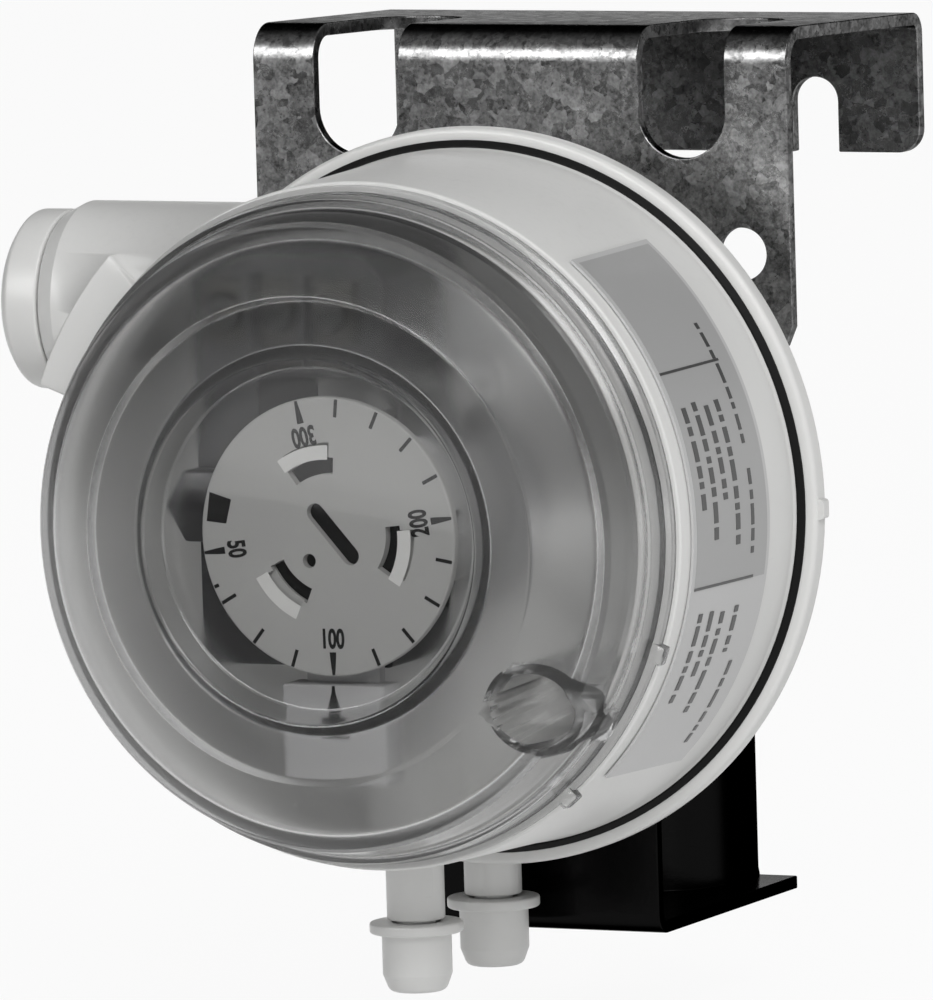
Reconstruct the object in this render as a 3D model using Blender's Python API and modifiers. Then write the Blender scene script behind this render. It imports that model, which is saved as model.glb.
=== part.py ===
"""Differential pressure switch with a round housing, a clear cover and a folded wall bracket.

The housing stands on its side: its round axis is horizontal and the dial looks along -Y.
Everything is built about that axis with the joint plane of the two housing halves at zero,
and place() then moves the whole so that the origin is the middle of the bracket's wall face.
Heights called "h" run forward from the joint plane, so h = -y there.
"""
import math

import bmesh
import bpy
from mathutils import Euler, Matrix, Vector

# overall sizes, in metres
GAP = 0.0003                # running gap between pieces that touch
WALL_OFFSET = 0.0525        # joint plane of the housing to the wall

# sizes that the others follow
BODY_R = 0.0399             # front housing half at the joint plane
DIAL_R = 0.0158
SWITCH_DEPTH = 0.0152

# rear housing half
FLANGE_R = BODY_R + 0.0021
FLANGE_EDGE = 0.0006
FLANGE_T = 0.0023
REAR_DEPTH = 0.0133         # joint plane to the rear face
REAR_WALL = 0.0020
REAR_BOWL_R = FLANGE_R - 0.0040
REAR_BACK_R = REAR_BOWL_R - 0.0020
CHAMBER_R = BODY_R - 0.0054
BEAD_OUT_R = BODY_R - 0.0022  # outer edge of the diaphragm's bead
SEAT_DEPTH = 0.0042         # the diaphragm's bead lies on a seat this far behind the joint plane
REAR_BOSS_R = 0.0042        # takes a bracket screw
REAR_BOSS_END = 0.0014

# front housing half
BODY_TOP_R = BODY_R - 0.0013         # under the cover
SPIGOT_DEPTH = 0.0022       # how far the front half reaches into the rear half
SNAP_H = 0.0004             # height of the snap bead
CAVITY_R = BODY_R - 0.0029
NECK_R = BODY_R - 0.0059             # mouth of the cavity, inside the cover
NECK_T = 0.0020
COVER_SPIGOT_T = 0.0014
COVER_SPIGOT_H = 0.0032
PARTITION_H = 0.0035        # rear face of the partition
PARTITION_T = 0.0020
GUIDE_H = PARTITION_H + PARTITION_T + 0.0040
PIN_TOP_H = GUIDE_H + 0.0015
SWITCH_BACK_H = PIN_TOP_H + 0.0045
SWITCH_FACE_H = SWITCH_BACK_H + SWITCH_DEPTH
TOWER_TOP_H = SWITCH_FACE_H + 0.0045
SHOULDER_H = SWITCH_FACE_H - 0.0014  # the cover sits here
COVER_POST_R = 0.0042
SWITCH_POST_R = 0.0026
SWITCH_REST_R = 0.0024
SWITCH_REST_Z = 0.0250
POST_ROOT = 0.0005          # how far posts and lugs sink into the partition
LUG_GAP = 0.0005            # between the lever and the lugs beside it
LUG_T = 0.0022
LUG_HALF = 0.0024           # half the lug's width, and its height over the pivot

# clear cover
COVER_RIM_R = BODY_R - 0.0017
COVER_FACE_R = BODY_R - 0.0048  # outer edge of the cover's cone
DIAL_FACE_H = TOWER_TOP_H + 0.0035
COVER_FACE_H = DIAL_FACE_H + 0.0019
COVER_BROW_R = COVER_FACE_R - 0.0079  # inner edge of the cone
COVER_BROW_H = COVER_FACE_H + 0.0035
COVER_WINDOW_R = DIAL_R + 0.0033  # sunk window in front of the dial
COVER_WINDOW_H = DIAL_FACE_H + 0.0027
COVER_WALL = 0.0018
COVER_SKIRT_T = 0.0012
SEAL_T = 0.0010
WELL_ANGLE = math.radians(-35.0)
WELL_PCR = BODY_R - 0.0095   # the screw well lies on this radius
WELL_TOP_R = 0.0050
WELL_FOOT_R = 0.0034
WELL_FLOOR_H = SHOULDER_H - 0.0073
WELL_FLOOR_T = 0.0018
WELL_WALL = 0.0010
COVER_LUG = (0.0022, 0.0010, 0.0018)
COVER_LUG_SPREAD = math.radians(15.0)
COVER_SCREW_R = 0.0015
COVER_SCREW_HEAD_R = 0.0027
COVER_SCREW_HEAD_T = 0.0020
COVER_SCREW_L = 0.0100
COVER_SCREW_TURN = 0.6

# pressure ports
PORT_X = -0.0030
PORT_FRONT_H = PARTITION_H + 0.0095
PORT_REAR_H = 0.0059 - REAR_DEPTH
PORT_R = 0.0033
PORT_TIP_R = 0.0025
PORT_BORE_R = 0.0014
PORT_STEP_Z = FLANGE_R + 0.0044  # neck ends this far below the axis
PORT_END_Z = PORT_STEP_Z + 0.0056
DUCT_HALF = 0.0036          # half the width of the block that joins the front port
DUCT_DEPTH = 0.0065
CAP_BARREL_R = 0.00395
CAP_COLLAR_R = 0.0053
CAP_COLLAR_T = 0.0012
CAP_END_T = 0.0023

# cable entry
GLAND_H = SHOULDER_H - 0.0118
GLAND_Z = 0.0237
GLAND_R = 0.0102
BOSS_STEP = (0.0010, 0.0022)  # the boss is thicker than the nut, with a slope between
GLAND_BORE_R = 0.0070
GLAND_FACE_X = BODY_R + 0.0011  # end face of the boss, on the left
GLAND_NECK_R = 0.0083
GLAND_NECK_L = 0.0036
GLAND_NUT_L = 0.0050
GLAND_NUT_HOLE_R = 0.0046
BUSH_HOLE_R = 0.0033
BUSH_L = 0.0060
PAD_R = math.hypot(GLAND_FACE_X, GLAND_Z - GLAND_R)
PAD_OVER = 0.0063           # the pad ends this far above the cable's axis
PAD_UNDER = 0.0086          # and starts this far below it

# diaphragm drive
DIAPHRAGM_T = 0.0008
BEAD_T = 0.0014
PLATE_R = CHAMBER_R - 0.0080
PLATE_T = 0.0012
PIN_R = 0.0013
STROKE = 0.0008
GUIDE_R = 0.0035
LEVER_T = 0.0010
LEVER_W = 0.0070
LEVER_PIVOT_Z = 0.0140
LEVER_PIN_R = 0.0010
LEVER_TIP_Z = -0.0145
BUTTON_Z = -0.0130
BUTTON_R = 0.0015
BUTTON_L = 0.0088
LEVER_NOSE = 0.0020         # half the width of the lever's tip
LEVER_TAPER_Z = -0.0040

# set-point spring and dial
TOWER_R = 0.0087
TOWER_WALL = 0.0016
TOWER_BASE_R = 0.0118
NUT_H = SWITCH_BACK_H + 0.0085
NUT_T = 0.0040
STEM_R = 0.0024
STEM_END_H = NUT_H - NUT_T
SPRING_R = 0.0046
SPRING_WIRE_R = 0.0005
SPRING_TURNS = 6
DIAL_T = 0.0016
WINDOW_IN_R = 0.0069
WINDOW_OUT_R = 0.0103
WINDOW_MID_R = 0.0085
WINDOW_HALF = math.radians(19.0)
WINDOW_ANGLES = [math.radians(a) for a in (107.0, 227.0, 347.0)]
DRIVER_SLOT_L = 0.0073
DRIVER_SLOT_W = 0.0016
DRIVER_SLOT_ANGLE = math.radians(-48.5)
DRIVER_SLOT_DEPTH = 0.0011
DIAL_HOLE_R = 0.0007
DIAL_HOLE = (-0.0030, -0.0032)
LEDGE_DEPTH = 0.0006        # recess beside each dial window
KEY_HALF = 0.0011           # half the width of the spring nut's keys
POINTER_W = 0.0126
POINTER_TOP_Z = -0.0166
POINTER_END_Z = -0.0275
POINTER_FACE_H = DIAL_FACE_H - 0.0009
POINTER_T = 0.0042
POINTER_ARM_W = 0.0090

# snap switch with its terminals
SWITCH_LEFT = -0.0195
SWITCH_RIGHT = 0.0040
SWITCH_TOP = 0.0305
SWITCH_SHELF_Z = 0.0170
SWITCH_LEG_Z = -0.0105
SWITCH_END_Z = -0.0155
SWITCH_COLUMN_W = 0.0078
TERMINAL_PITCH = 0.0065
TERMINAL_X = -0.0145
TERMINAL_Z = 0.0240
TERMINAL_SIZE = (0.0050, 0.0070, 0.0012)
SCREW_R = 0.0012
FIXING_X = -0.0172
FIXING_Z = 0.0026
FIXING_AF = 0.0080
FIXING_HEAD_T = 0.0036
TERMINAL_HEAD_R = 0.0021
TERMINAL_HEAD_T = 0.0014
RIB = (0.0008, 0.0035, 0.0084)

# folded bracket
SHEET_T = 0.0015
BEND_R = 0.0025
PLATE_W = 2 * FLANGE_R - 0.0170
PLATE_LOW_Z = 0.0162
TAB_W = 0.0298
TOP_Z = FLANGE_R + 0.0083
REAR_FLANGE_DROP = 0.0161
FOOT_Z = -FLANGE_R - 0.0096
ACCESS_X = 0.0204
ACCESS_W = 0.0105
ACCESS_DOWN = 0.0133
ACCESS_BACK = 0.0215
HANG_W = 0.0056
HANG_UP = 0.0089
HOLE_X = PLATE_W / 2 - 0.00605
HOLE_Z = 0.0267
HOLE_R = 0.0030
PLATE_CHAMFER = (0.0010, 0.0023)
FLANGE_CORNER_R = 0.0028
UPRIGHT_R = 0.0100
UPRIGHT_H = 0.0200
UPRIGHT_FRONT = 0.0175      # front of the upright to the wall
BRACKET_SCREW_Z = 0.0270
BRACKET_SCREW_R = 0.0017
BRACKET_SCREW_GRIP = 0.0040  # how far a screw reaches into the housing
BRACKET_HEAD_R = 0.0034
BRACKET_HEAD_T = 0.0020

# label on the side of the front half
LABEL_LOW_H = 0.0080
LABEL_HIGH_H = SHOULDER_H - 0.0023
LABEL_T = 0.0003
LABEL_GAP = 0.00015
LABEL_TOP = math.radians(50.0)
LABEL_END = math.radians(-45.0)

ROUND = 40                  # facets round the big shells
GUIDE_TWIST = 0.037         # each turned guide sits this much further round than the one before it

HOME = Vector((0.0, -WALL_OFFSET, -(TOP_Z - REAR_FLANGE_DROP / 2)))
FORWARD = (math.pi / 2, 0.0, 0.0)    # turns a shape's own +Z to the front
LEFTWARD = (0.0, -math.pi / 2, 0.0)  # turns it to the left
DOWNWARD = (math.pi, 0.0, 0.0)       # turns it down

LEVER_BACK_H = PIN_TOP_H + GAP
LEVER_FRONT_H = LEVER_BACK_H + LEVER_T
PARTITION_FACE_H = PARTITION_H + PARTITION_T
PLATE_FRONT_Y = REAR_DEPTH + GAP
COVER_BASE_H = SHOULDER_H + GAP

parts = None
guides = None


# scene helpers
def clear_scene():
    for obj in list(bpy.data.objects):
        bpy.data.objects.remove(obj, do_unlink=True)


def make_collections():
    global parts, guides
    parts = bpy.data.collections.new("pressure_switch")
    guides = bpy.data.collections.new("pressure_switch_guides")
    bpy.context.scene.collection.children.link(parts)
    bpy.context.scene.collection.children.link(guides)


def material(name, colour, roughness, metallic=0.0, transmission=0.0):
    mat = bpy.data.materials.new(name)
    mat.use_nodes = True
    shader = mat.node_tree.nodes["Principled BSDF"]
    shader.inputs["Base Color"].default_value = (*colour, 1.0)
    shader.inputs["Roughness"].default_value = roughness
    shader.inputs["Metallic"].default_value = metallic
    shader.inputs["Transmission Weight"].default_value = transmission
    return mat


def pale_plastic(name):
    return material(name, (0.72, 0.72, 0.70), 0.42)


def black_plastic(name):
    return material(name, (0.03, 0.03, 0.032), 0.45)


def clear_plastic(name):
    return material(name, (0.92, 0.94, 0.95), 0.06, transmission=1.0)


def rubber(name):
    return material(name, (0.10, 0.10, 0.10), 0.75)


def silicone(name):
    return material(name, (0.62, 0.30, 0.22), 0.60)


def zinc_steel(name):
    return material(name, (0.55, 0.56, 0.57), 0.38, metallic=1.0)


def bright_steel(name):
    return material(name, (0.70, 0.70, 0.70), 0.25, metallic=1.0)


def brass(name):
    return material(name, (0.75, 0.58, 0.28), 0.30, metallic=1.0)


def link(obj, guide=False):
    (guides if guide else parts).objects.link(obj)
    if guide:
        obj.hide_render = True
        obj.display_type = "WIRE"
    return obj


def at(x, h, z):
    """Point at x to the right, h in front of the joint plane and z above the axis."""
    return Vector((x, -h, z))


def finish(obj, mat, angle=32.0):
    obj.data.materials.clear()
    obj.data.materials.append(mat(obj.name + "_material"))
    obj.data.shade_smooth()
    obj.data.set_sharp_from_angle(angle=math.radians(angle))
    return obj


def turned(name, profile, steps=48, location=(0, 0, 0), rotation=FORWARD, guide=False, closed=False):
    """Solid of revolution. The profile of (radius, height) runs down its outer side."""
    mesh = bpy.data.meshes.new(name)
    edges = [(i, i + 1) for i in range(len(profile) - 1)]
    if closed:
        edges.append((len(profile) - 1, 0))
    twist = GUIDE_TWIST * (1 + len(guides.objects)) if guide else 0.0
    mesh.from_pydata([(r * math.cos(twist), r * math.sin(twist), z) for r, z in profile], edges, [])
    obj = link(bpy.data.objects.new(name, mesh), guide)
    obj.location = location
    obj.rotation_euler = rotation
    screw = obj.modifiers.new("Turn", "SCREW")
    screw.axis = "Z"
    screw.steps = steps
    screw.render_steps = steps
    screw.use_merge_vertices = True
    screw.merge_threshold = 0.00001
    screw.use_smooth_shade = True
    return obj


def rod(name, radius, start, end, steps=24, guide=True, rotation=FORWARD, location=(0, 0, 0)):
    """Plain cylinder from start to end along its own +Z."""
    profile = [(0.0, end), (radius, end), (radius, start), (0.0, start)]
    return turned(name, profile, steps, location, rotation, guide)


def block(name, low, high, guide=True):
    """Box between two corners given as (x, h, z)."""
    a, b = at(*low), at(*high)
    mesh = bpy.data.meshes.new(name)
    bm = bmesh.new()
    bmesh.ops.create_cube(bm, size=1.0)
    size = Matrix.Diagonal((abs(b.x - a.x), abs(b.y - a.y), abs(b.z - a.z), 1.0))
    bmesh.ops.transform(bm, matrix=size, verts=bm.verts)
    bm.to_mesh(mesh)
    bm.free()
    obj = link(bpy.data.objects.new(name, mesh), guide)
    obj.location = (a + b) / 2
    return obj


def plate(name, outline, thickness, location, rotation=FORWARD, guide=True):
    """Flat outline in its own XY plane, thickened upward along its own +Z."""
    curve = bpy.data.curves.new(name, "CURVE")
    curve.dimensions = "2D"
    curve.fill_mode = "BOTH"
    curve.extrude = thickness / 2
    spline = curve.splines.new("POLY")
    spline.points.add(len(outline) - 1)
    for point, (x, y) in zip(spline.points, outline):
        point.co = (x, y, 0.0, 1.0)
    spline.use_cyclic_u = True
    sketch = bpy.data.objects.new(name + "_sketch", curve)
    bpy.context.scene.collection.objects.link(sketch)
    sketch.location = Vector(location) + Euler(rotation).to_matrix() @ Vector((0.0, 0.0, thickness / 2))
    sketch.rotation_euler = rotation
    return solid_from_curve(name, sketch, guide)


def solid_from_curve(name, curve_object, guide):
    bpy.context.view_layer.update()
    depsgraph = bpy.context.evaluated_depsgraph_get()
    mesh = bpy.data.meshes.new_from_object(curve_object.evaluated_get(depsgraph))
    bm = bmesh.new()
    bm.from_mesh(mesh)
    bmesh.ops.remove_doubles(bm, verts=bm.verts, dist=0.000005)
    bmesh.ops.recalc_face_normals(bm, faces=bm.faces)
    bm.to_mesh(mesh)
    bm.free()
    mesh.materials.clear()
    obj = link(bpy.data.objects.new(name, mesh), guide)
    obj.matrix_world = curve_object.matrix_world
    bpy.data.objects.remove(curve_object, do_unlink=True)
    return obj


def arc(radius, start, end, count, centre=(0.0, 0.0)):
    step = (end - start) / (count - 1)
    return [(centre[0] + radius * math.cos(start + i * step),
             centre[1] + radius * math.sin(start + i * step)) for i in range(count)]


def obround(length, width, angle=0.0, count=9):
    """Slot outline: length is between the centres of its round ends."""
    right = arc(width / 2, -math.pi / 2, math.pi / 2, count, (length / 2, 0.0))
    left = arc(width / 2, math.pi / 2, 1.5 * math.pi, count, (-length / 2, 0.0))
    turn = Matrix.Rotation(angle, 2)
    return [tuple(turn @ Vector(p)) for p in right + left]


def apply_tool(obj, tool, operation):
    boolean = obj.modifiers.new(operation.title() + " " + tool.name, "BOOLEAN")
    boolean.operation = operation
    boolean.solver = "EXACT"
    boolean.object = tool
    return obj


def cut(obj, *tools):
    for tool in tools:
        apply_tool(obj, tool, "DIFFERENCE")


def join(obj, *tools):
    for tool in tools:
        apply_tool(obj, tool, "UNION")


def place():
    """Move everything so that the middle of the wall face becomes the origin."""
    for obj in bpy.data.objects:
        if obj.parent is None:
            obj.location = obj.location + HOME


# housing
def port_profile(root_z):
    """Neck, shoulder and slim tip of a port, measured downward from the axis."""
    return [(0.0, PORT_END_Z), (PORT_TIP_R - 0.0005, PORT_END_Z), (PORT_TIP_R, PORT_END_Z - 0.0012),
            (PORT_TIP_R - 0.0003, PORT_END_Z - 0.0016), (PORT_TIP_R - 0.0003, PORT_STEP_Z),
            (PORT_R, PORT_STEP_Z), (PORT_R, root_z), (0.0, root_z)]


def rear_housing():
    inner = BODY_R + GAP
    seat, socket = -SEAT_DEPTH, -SPIGOT_DEPTH - GAP
    profile = [
        (0.0, -REAR_DEPTH + REAR_WALL), (CHAMBER_R - 0.001, -REAR_DEPTH + REAR_WALL),
        (CHAMBER_R, -REAR_DEPTH + REAR_WALL + 0.001), (CHAMBER_R, seat), (BEAD_OUT_R + GAP, seat),
        (BEAD_OUT_R + GAP, socket), (inner, socket),
        (inner, -0.0017), (inner + SNAP_H, -0.0015), (inner + SNAP_H, -0.0008), (inner, -0.0006),
        (inner, 0.0), (FLANGE_R - FLANGE_EDGE, 0.0), (FLANGE_R, -FLANGE_EDGE),
        (FLANGE_R, -FLANGE_T + FLANGE_EDGE), (FLANGE_R - FLANGE_EDGE, -FLANGE_T),
        (FLANGE_R - 0.0024, seat - 0.0008), (REAR_BOWL_R, seat - 0.0014), (REAR_BACK_R, -REAR_DEPTH + 0.001),
        (REAR_BACK_R - 0.001, -REAR_DEPTH), (0.0, -REAR_DEPTH)]
    body = turned("rear_housing", profile, ROUND)
    port = turned("rear_port", port_profile(CHAMBER_R + 0.001), 18,
                  at(PORT_X, PORT_REAR_H, 0.0), DOWNWARD, True)
    join(body, port)
    for sign in (1, -1):
        boss = rod("rear_boss_%d" % sign, REAR_BOSS_R, -REAR_DEPTH + 0.001,
                   -REAR_DEPTH + BRACKET_SCREW_GRIP + REAR_BOSS_END, 14)
        boss.location = at(0.0, 0.0, sign * BRACKET_SCREW_Z)
        join(body, boss)
        hole = rod("rear_boss_hole_%d" % sign, BRACKET_SCREW_R + GAP, -REAR_DEPTH - 0.001,
                   -REAR_DEPTH + BRACKET_SCREW_GRIP + GAP, 12)
        hole.location = at(0.0, 0.0, sign * BRACKET_SCREW_Z)
        cut(body, hole)
    bore = rod("rear_port_bore", PORT_BORE_R, CHAMBER_R - 0.002, PORT_END_Z + 0.001, 12, rotation=DOWNWARD)
    bore.location = at(PORT_X, PORT_REAR_H, 0.0)
    cut(body, bore)
    return finish(body, pale_plastic)


def front_housing():
    spigot = NECK_R + COVER_SPIGOT_T
    top = SHOULDER_H + COVER_SPIGOT_H
    ceiling = SHOULDER_H - NECK_T
    profile = [
        (PIN_R + GAP, GUIDE_H), (GUIDE_R, GUIDE_H), (GUIDE_R, PARTITION_FACE_H),
        (CAVITY_R, PARTITION_FACE_H), (CAVITY_R - 0.0005, ceiling), (NECK_R, ceiling), (NECK_R, top),
        (spigot, top), (spigot, SHOULDER_H), (BODY_TOP_R, SHOULDER_H), (BODY_R - 0.0003, 0.0010),
        (BODY_R, 0.0), (BODY_R, -0.0008), (BODY_R + SNAP_H, -0.0010), (BODY_R + SNAP_H, -0.0013),
        (BODY_R, -0.0015), (BODY_R, -SPIGOT_DEPTH), (CHAMBER_R, -SPIGOT_DEPTH),
        (CHAMBER_R, PARTITION_H), (PIN_R + GAP, PARTITION_H)]
    body = turned("front_housing", profile, ROUND, closed=True)
    add_gland_boss(body)
    add_front_port(body)
    add_inner_posts(body)
    return finish(body, pale_plastic)


def add_gland_boss(body):
    axis = at(0.0, GLAND_H, GLAND_Z)
    root = NECK_R - 0.018
    profile = [(0.0, GLAND_FACE_X + GLAND_NECK_L), (GLAND_NECK_R, GLAND_FACE_X + GLAND_NECK_L),
               (GLAND_NECK_R, GLAND_FACE_X), (GLAND_R - 0.0004, GLAND_FACE_X),
               (GLAND_R, GLAND_FACE_X - 0.0004), (GLAND_R + BOSS_STEP[0], GLAND_FACE_X - BOSS_STEP[1]),
               (GLAND_R + BOSS_STEP[0], root), (0.0, root)]
    boss = turned("gland_boss", profile, 26, axis, LEFTWARD, True)
    low = math.asin((GLAND_Z - PAD_UNDER) / PAD_R)
    high = math.asin((GLAND_Z + PAD_OVER) / PAD_R)
    inner = CAVITY_R + 0.0006
    outline = (arc(PAD_R, math.pi - high, math.pi - low, 8)
               + arc(inner, math.pi - low, math.pi - high, 6))
    width = 2 * (SHOULDER_H - GAP - GLAND_H)
    pad = plate("gland_pad", outline, width, at(0.0, GLAND_H - width / 2, 0.0))
    hollow = rod("housing_hollow", inner, PARTITION_FACE_H + 0.001, SHOULDER_H + 0.01, ROUND)
    cut(boss, hollow)
    join(body, pad, boss)
    bore = rod("gland_bore", GLAND_BORE_R, root - 0.002, GLAND_FACE_X + GLAND_NECK_L + 0.001, 22,
               rotation=LEFTWARD)
    bore.location = axis
    cut(body, bore)


def add_front_port(body):
    port = turned("front_port", port_profile(CAVITY_R + 0.0005), 18,
                  at(PORT_X, PORT_FRONT_H, 0.0), DOWNWARD, True)
    duct_top = CHAMBER_R - DUCT_DEPTH
    duct = block("port_duct", (PORT_X - DUCT_HALF, PARTITION_H + POST_ROOT, -CAVITY_R - 0.0005),
                 (PORT_X + DUCT_HALF, PORT_FRONT_H + DUCT_HALF, -duct_top))
    join(body, duct, port)
    bore = rod("front_port_bore", PORT_BORE_R, duct_top + 0.0016, PORT_END_Z + 0.001, 12,
               rotation=DOWNWARD)
    bore.location = at(PORT_X, PORT_FRONT_H, 0.0)
    channel = rod("front_port_channel", PORT_BORE_R - 0.0001, PARTITION_H - 0.001, PORT_FRONT_H + 0.0004, 12)
    channel.location = at(PORT_X, 0.0, -duct_top - DUCT_HALF)
    cut(body, bore, channel)


def add_inner_posts(body):
    base = PARTITION_H + POST_ROOT
    well = well_centre()
    post = rod("cover_post", COVER_POST_R, base, WELL_FLOOR_H, 16)
    post.location = well
    fixing = rod("switch_post", SWITCH_POST_R, base, SWITCH_BACK_H - GAP, 14)
    fixing.location = at(FIXING_X, 0.0, FIXING_Z)
    rest = rod("switch_rest", SWITCH_REST_R, base, SWITCH_BACK_H - GAP, 12)
    rest.location = at(0.0, 0.0, SWITCH_REST_Z)
    join(body, post, fixing, rest)
    lug_h = LEVER_BACK_H + LEVER_T / 2
    near, far = LEVER_W / 2 + LUG_GAP, LEVER_W / 2 + LUG_GAP + LUG_T
    for sign in (1, -1):
        lug = block("lever_lug_%d" % sign, (sign * near, base, LEVER_PIVOT_Z - LUG_HALF),
                    (sign * far, lug_h + LUG_HALF, LEVER_PIVOT_Z + LUG_HALF))
        join(body, lug)
    eye = rod("lever_lug_hole", LEVER_PIN_R + GAP, -far - 0.001, far + 0.001, 12,
              rotation=(0, math.pi / 2, 0))
    eye.location = at(0.0, lug_h, LEVER_PIVOT_Z)
    post_hole = rod("cover_post_hole", COVER_SCREW_R + GAP, WELL_FLOOR_H - COVER_SCREW_L - 0.0005,
                    WELL_FLOOR_H + 0.001, 12)
    post_hole.location = well
    fixing_hole = rod("switch_post_hole", SCREW_R + GAP, SWITCH_BACK_H - 0.007, SWITCH_BACK_H, 10)
    fixing_hole.location = at(FIXING_X, 0.0, FIXING_Z)
    cut(body, eye, well_sleeve("well_relief", GAP), post_hole, fixing_hole)


def well_centre():
    return at(WELL_PCR * math.cos(WELL_ANGLE), 0.0, WELL_PCR * math.sin(WELL_ANGLE))


def well_sleeve(name, clearance):
    """Outside of the cover's screw well. With a clearance it is the hole that takes it."""
    foot = WELL_FLOOR_H - WELL_FLOOR_T - clearance
    top = WELL_FLOOR_H + 0.018 if clearance else COVER_BROW_H
    wide, slim = WELL_TOP_R + WELL_WALL + clearance, WELL_FOOT_R + WELL_WALL + clearance
    profile = [(0.0, top), (wide, top), (slim, WELL_FLOOR_H + 0.003), (slim, foot), (0.0, foot)]
    return turned(name, profile, 24, well_centre(), FORWARD, True)


def cover():
    spigot = NECK_R + COVER_SPIGOT_T + GAP
    seal_r = COVER_RIM_R - COVER_SKIRT_T
    t = COVER_WALL
    w_r, w_h, f_r, f_h = COVER_WINDOW_R, COVER_WINDOW_H, COVER_FACE_R, COVER_FACE_H
    b_r, b_h = COVER_BROW_R, COVER_BROW_H
    profile = [
        (0.0, w_h), (w_r, w_h), (w_r + 0.0012, b_h - 0.0002), (b_r, b_h),
        (f_r - 0.0006, f_h + 0.0001), (f_r, f_h - 0.0006),
        (f_r + 0.0012, f_h - 0.0054), (f_r + 0.0020, f_h - 0.0060), (f_r + 0.0026, f_h - 0.0094),
        (COVER_RIM_R, f_h - 0.0098), (COVER_RIM_R, COVER_BASE_H), (seal_r, COVER_BASE_H),
        (seal_r, COVER_BASE_H + SEAL_T + GAP), (spigot, COVER_BASE_H + SEAL_T + GAP),
        (spigot, SHOULDER_H + COVER_SPIGOT_H + GAP), (f_r - 0.0008, f_h - 0.0060),
        (f_r - 0.0022, f_h - 0.0012), (b_r - 0.0006, b_h - t), (w_r + 0.0027, b_h - t - 0.0002),
        (w_r + 0.0012, w_h - t), (0.0, w_h - t)]
    shell = turned("cover", profile, ROUND)
    well = well_centre()
    sleeve = well_sleeve("well_sleeve", 0.0)
    slope = (b_h - f_h) / (f_r - b_r)
    far = f_r + 0.010
    over = turned("over_cover", [(0.0, b_h + 0.010), (far, b_h + 0.010), (far, b_h - t / 2 - slope * (far - b_r)),
                                 (b_r, b_h - t / 2), (0.0, b_h - t / 2)], ROUND + 2, guide=True)
    cut(sleeve, over)
    neck = WELL_FLOOR_H + 0.003
    hollow_profile = [(0.0, b_h + 0.002), (WELL_TOP_R + 0.0002, b_h + 0.002), (WELL_TOP_R, f_h),
                      (WELL_FOOT_R, neck), (WELL_FOOT_R, WELL_FLOOR_H), (0.0, WELL_FLOOR_H)]
    hollow = turned("well_hollow", hollow_profile, 22, well, FORWARD, True)
    hole = rod("well_hole", COVER_SCREW_R + GAP, WELL_FLOOR_H - WELL_FLOOR_T - 0.001,
               WELL_FLOOR_H + 0.001, 12)
    hole.location = well
    join(shell, sleeve)
    cut(shell, hollow, hole)
    for sign in (1, -1):
        angle = WELL_ANGLE + sign * COVER_LUG_SPREAD
        lug = block("cover_lug_%d" % sign, (-COVER_LUG[0] / 2, COVER_BASE_H, COVER_RIM_R - 0.0006),
                    (COVER_LUG[0] / 2, COVER_BASE_H + COVER_LUG[2], COVER_RIM_R + COVER_LUG[1]))
        turn = Matrix.Rotation(math.pi / 2 - angle, 4, "Y")
        lug.matrix_world = turn @ Matrix.Translation(lug.location)
        join(shell, lug)
    return finish(shell, clear_plastic, 20.0)


def cover_seal():
    inner = NECK_R + COVER_SPIGOT_T + GAP
    outer = COVER_RIM_R - COVER_SKIRT_T - GAP
    low, high = SHOULDER_H + GAP, SHOULDER_H + GAP + SEAL_T
    profile = [(outer, high), (outer, low), (inner, low), (inner, high)]
    ring = turned("cover_seal", profile, ROUND, closed=True)
    return finish(ring, rubber)


def label():
    def wall_r(h):
        share = (h - 0.0010) / (SHOULDER_H - 0.0014)
        return BODY_R - 0.0003 + (BODY_TOP_R - BODY_R + 0.0003) * share + LABEL_GAP
    low, high = LABEL_LOW_H, LABEL_HIGH_H
    profile = [(wall_r(high) + LABEL_T, high), (wall_r(low) + LABEL_T, low),
               (wall_r(low), low), (wall_r(high), high)]
    strip = turned("label", profile, ROUND, closed=True)
    reach = 1.6 * BODY_R
    wedge = plate("label_wedge", [(0.0, 0.0)] + arc(reach, LABEL_END, LABEL_TOP, 9), high + 0.004 - low,
                  at(0.0, low - 0.002, 0.0))
    apply_tool(strip, wedge, "INTERSECT")
    return finish(strip, lambda name: material(name, (0.62, 0.62, 0.62), 0.5))


# cable entry
def gland_nut():
    face = GLAND_FACE_X + GAP
    end = GLAND_FACE_X + GLAND_NUT_L + GAP
    neck = GLAND_NECK_R + GAP
    floor = GLAND_FACE_X + GLAND_NECK_L + GAP
    profile = [(GLAND_NUT_HOLE_R, end - 0.0002), (GLAND_NUT_HOLE_R + 0.0002, end), (GLAND_R - 0.0014, end),
               (GLAND_R - 0.0004, end - 0.0004), (GLAND_R, end - 0.0014), (GLAND_R, face + 0.0003),
               (GLAND_R - 0.0003, face), (neck, face), (neck, floor), (GLAND_NUT_HOLE_R, floor)]
    nut = turned("gland_nut", profile, 28, at(0.0, GLAND_H, GLAND_Z), LEFTWARD, closed=True)
    return finish(nut, pale_plastic)


def gland_bush():
    end = GLAND_FACE_X + GLAND_NECK_L
    outer = GLAND_BORE_R - GAP
    profile = [(outer, end), (outer, end - BUSH_L + 0.0012), (outer - 0.0012, end - BUSH_L),
               (BUSH_HOLE_R, end - BUSH_L), (BUSH_HOLE_R, end)]
    bush = turned("gland_bush", profile, 18, at(0.0, GLAND_H, GLAND_Z), LEFTWARD, closed=True)
    return finish(bush, rubber)


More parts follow.
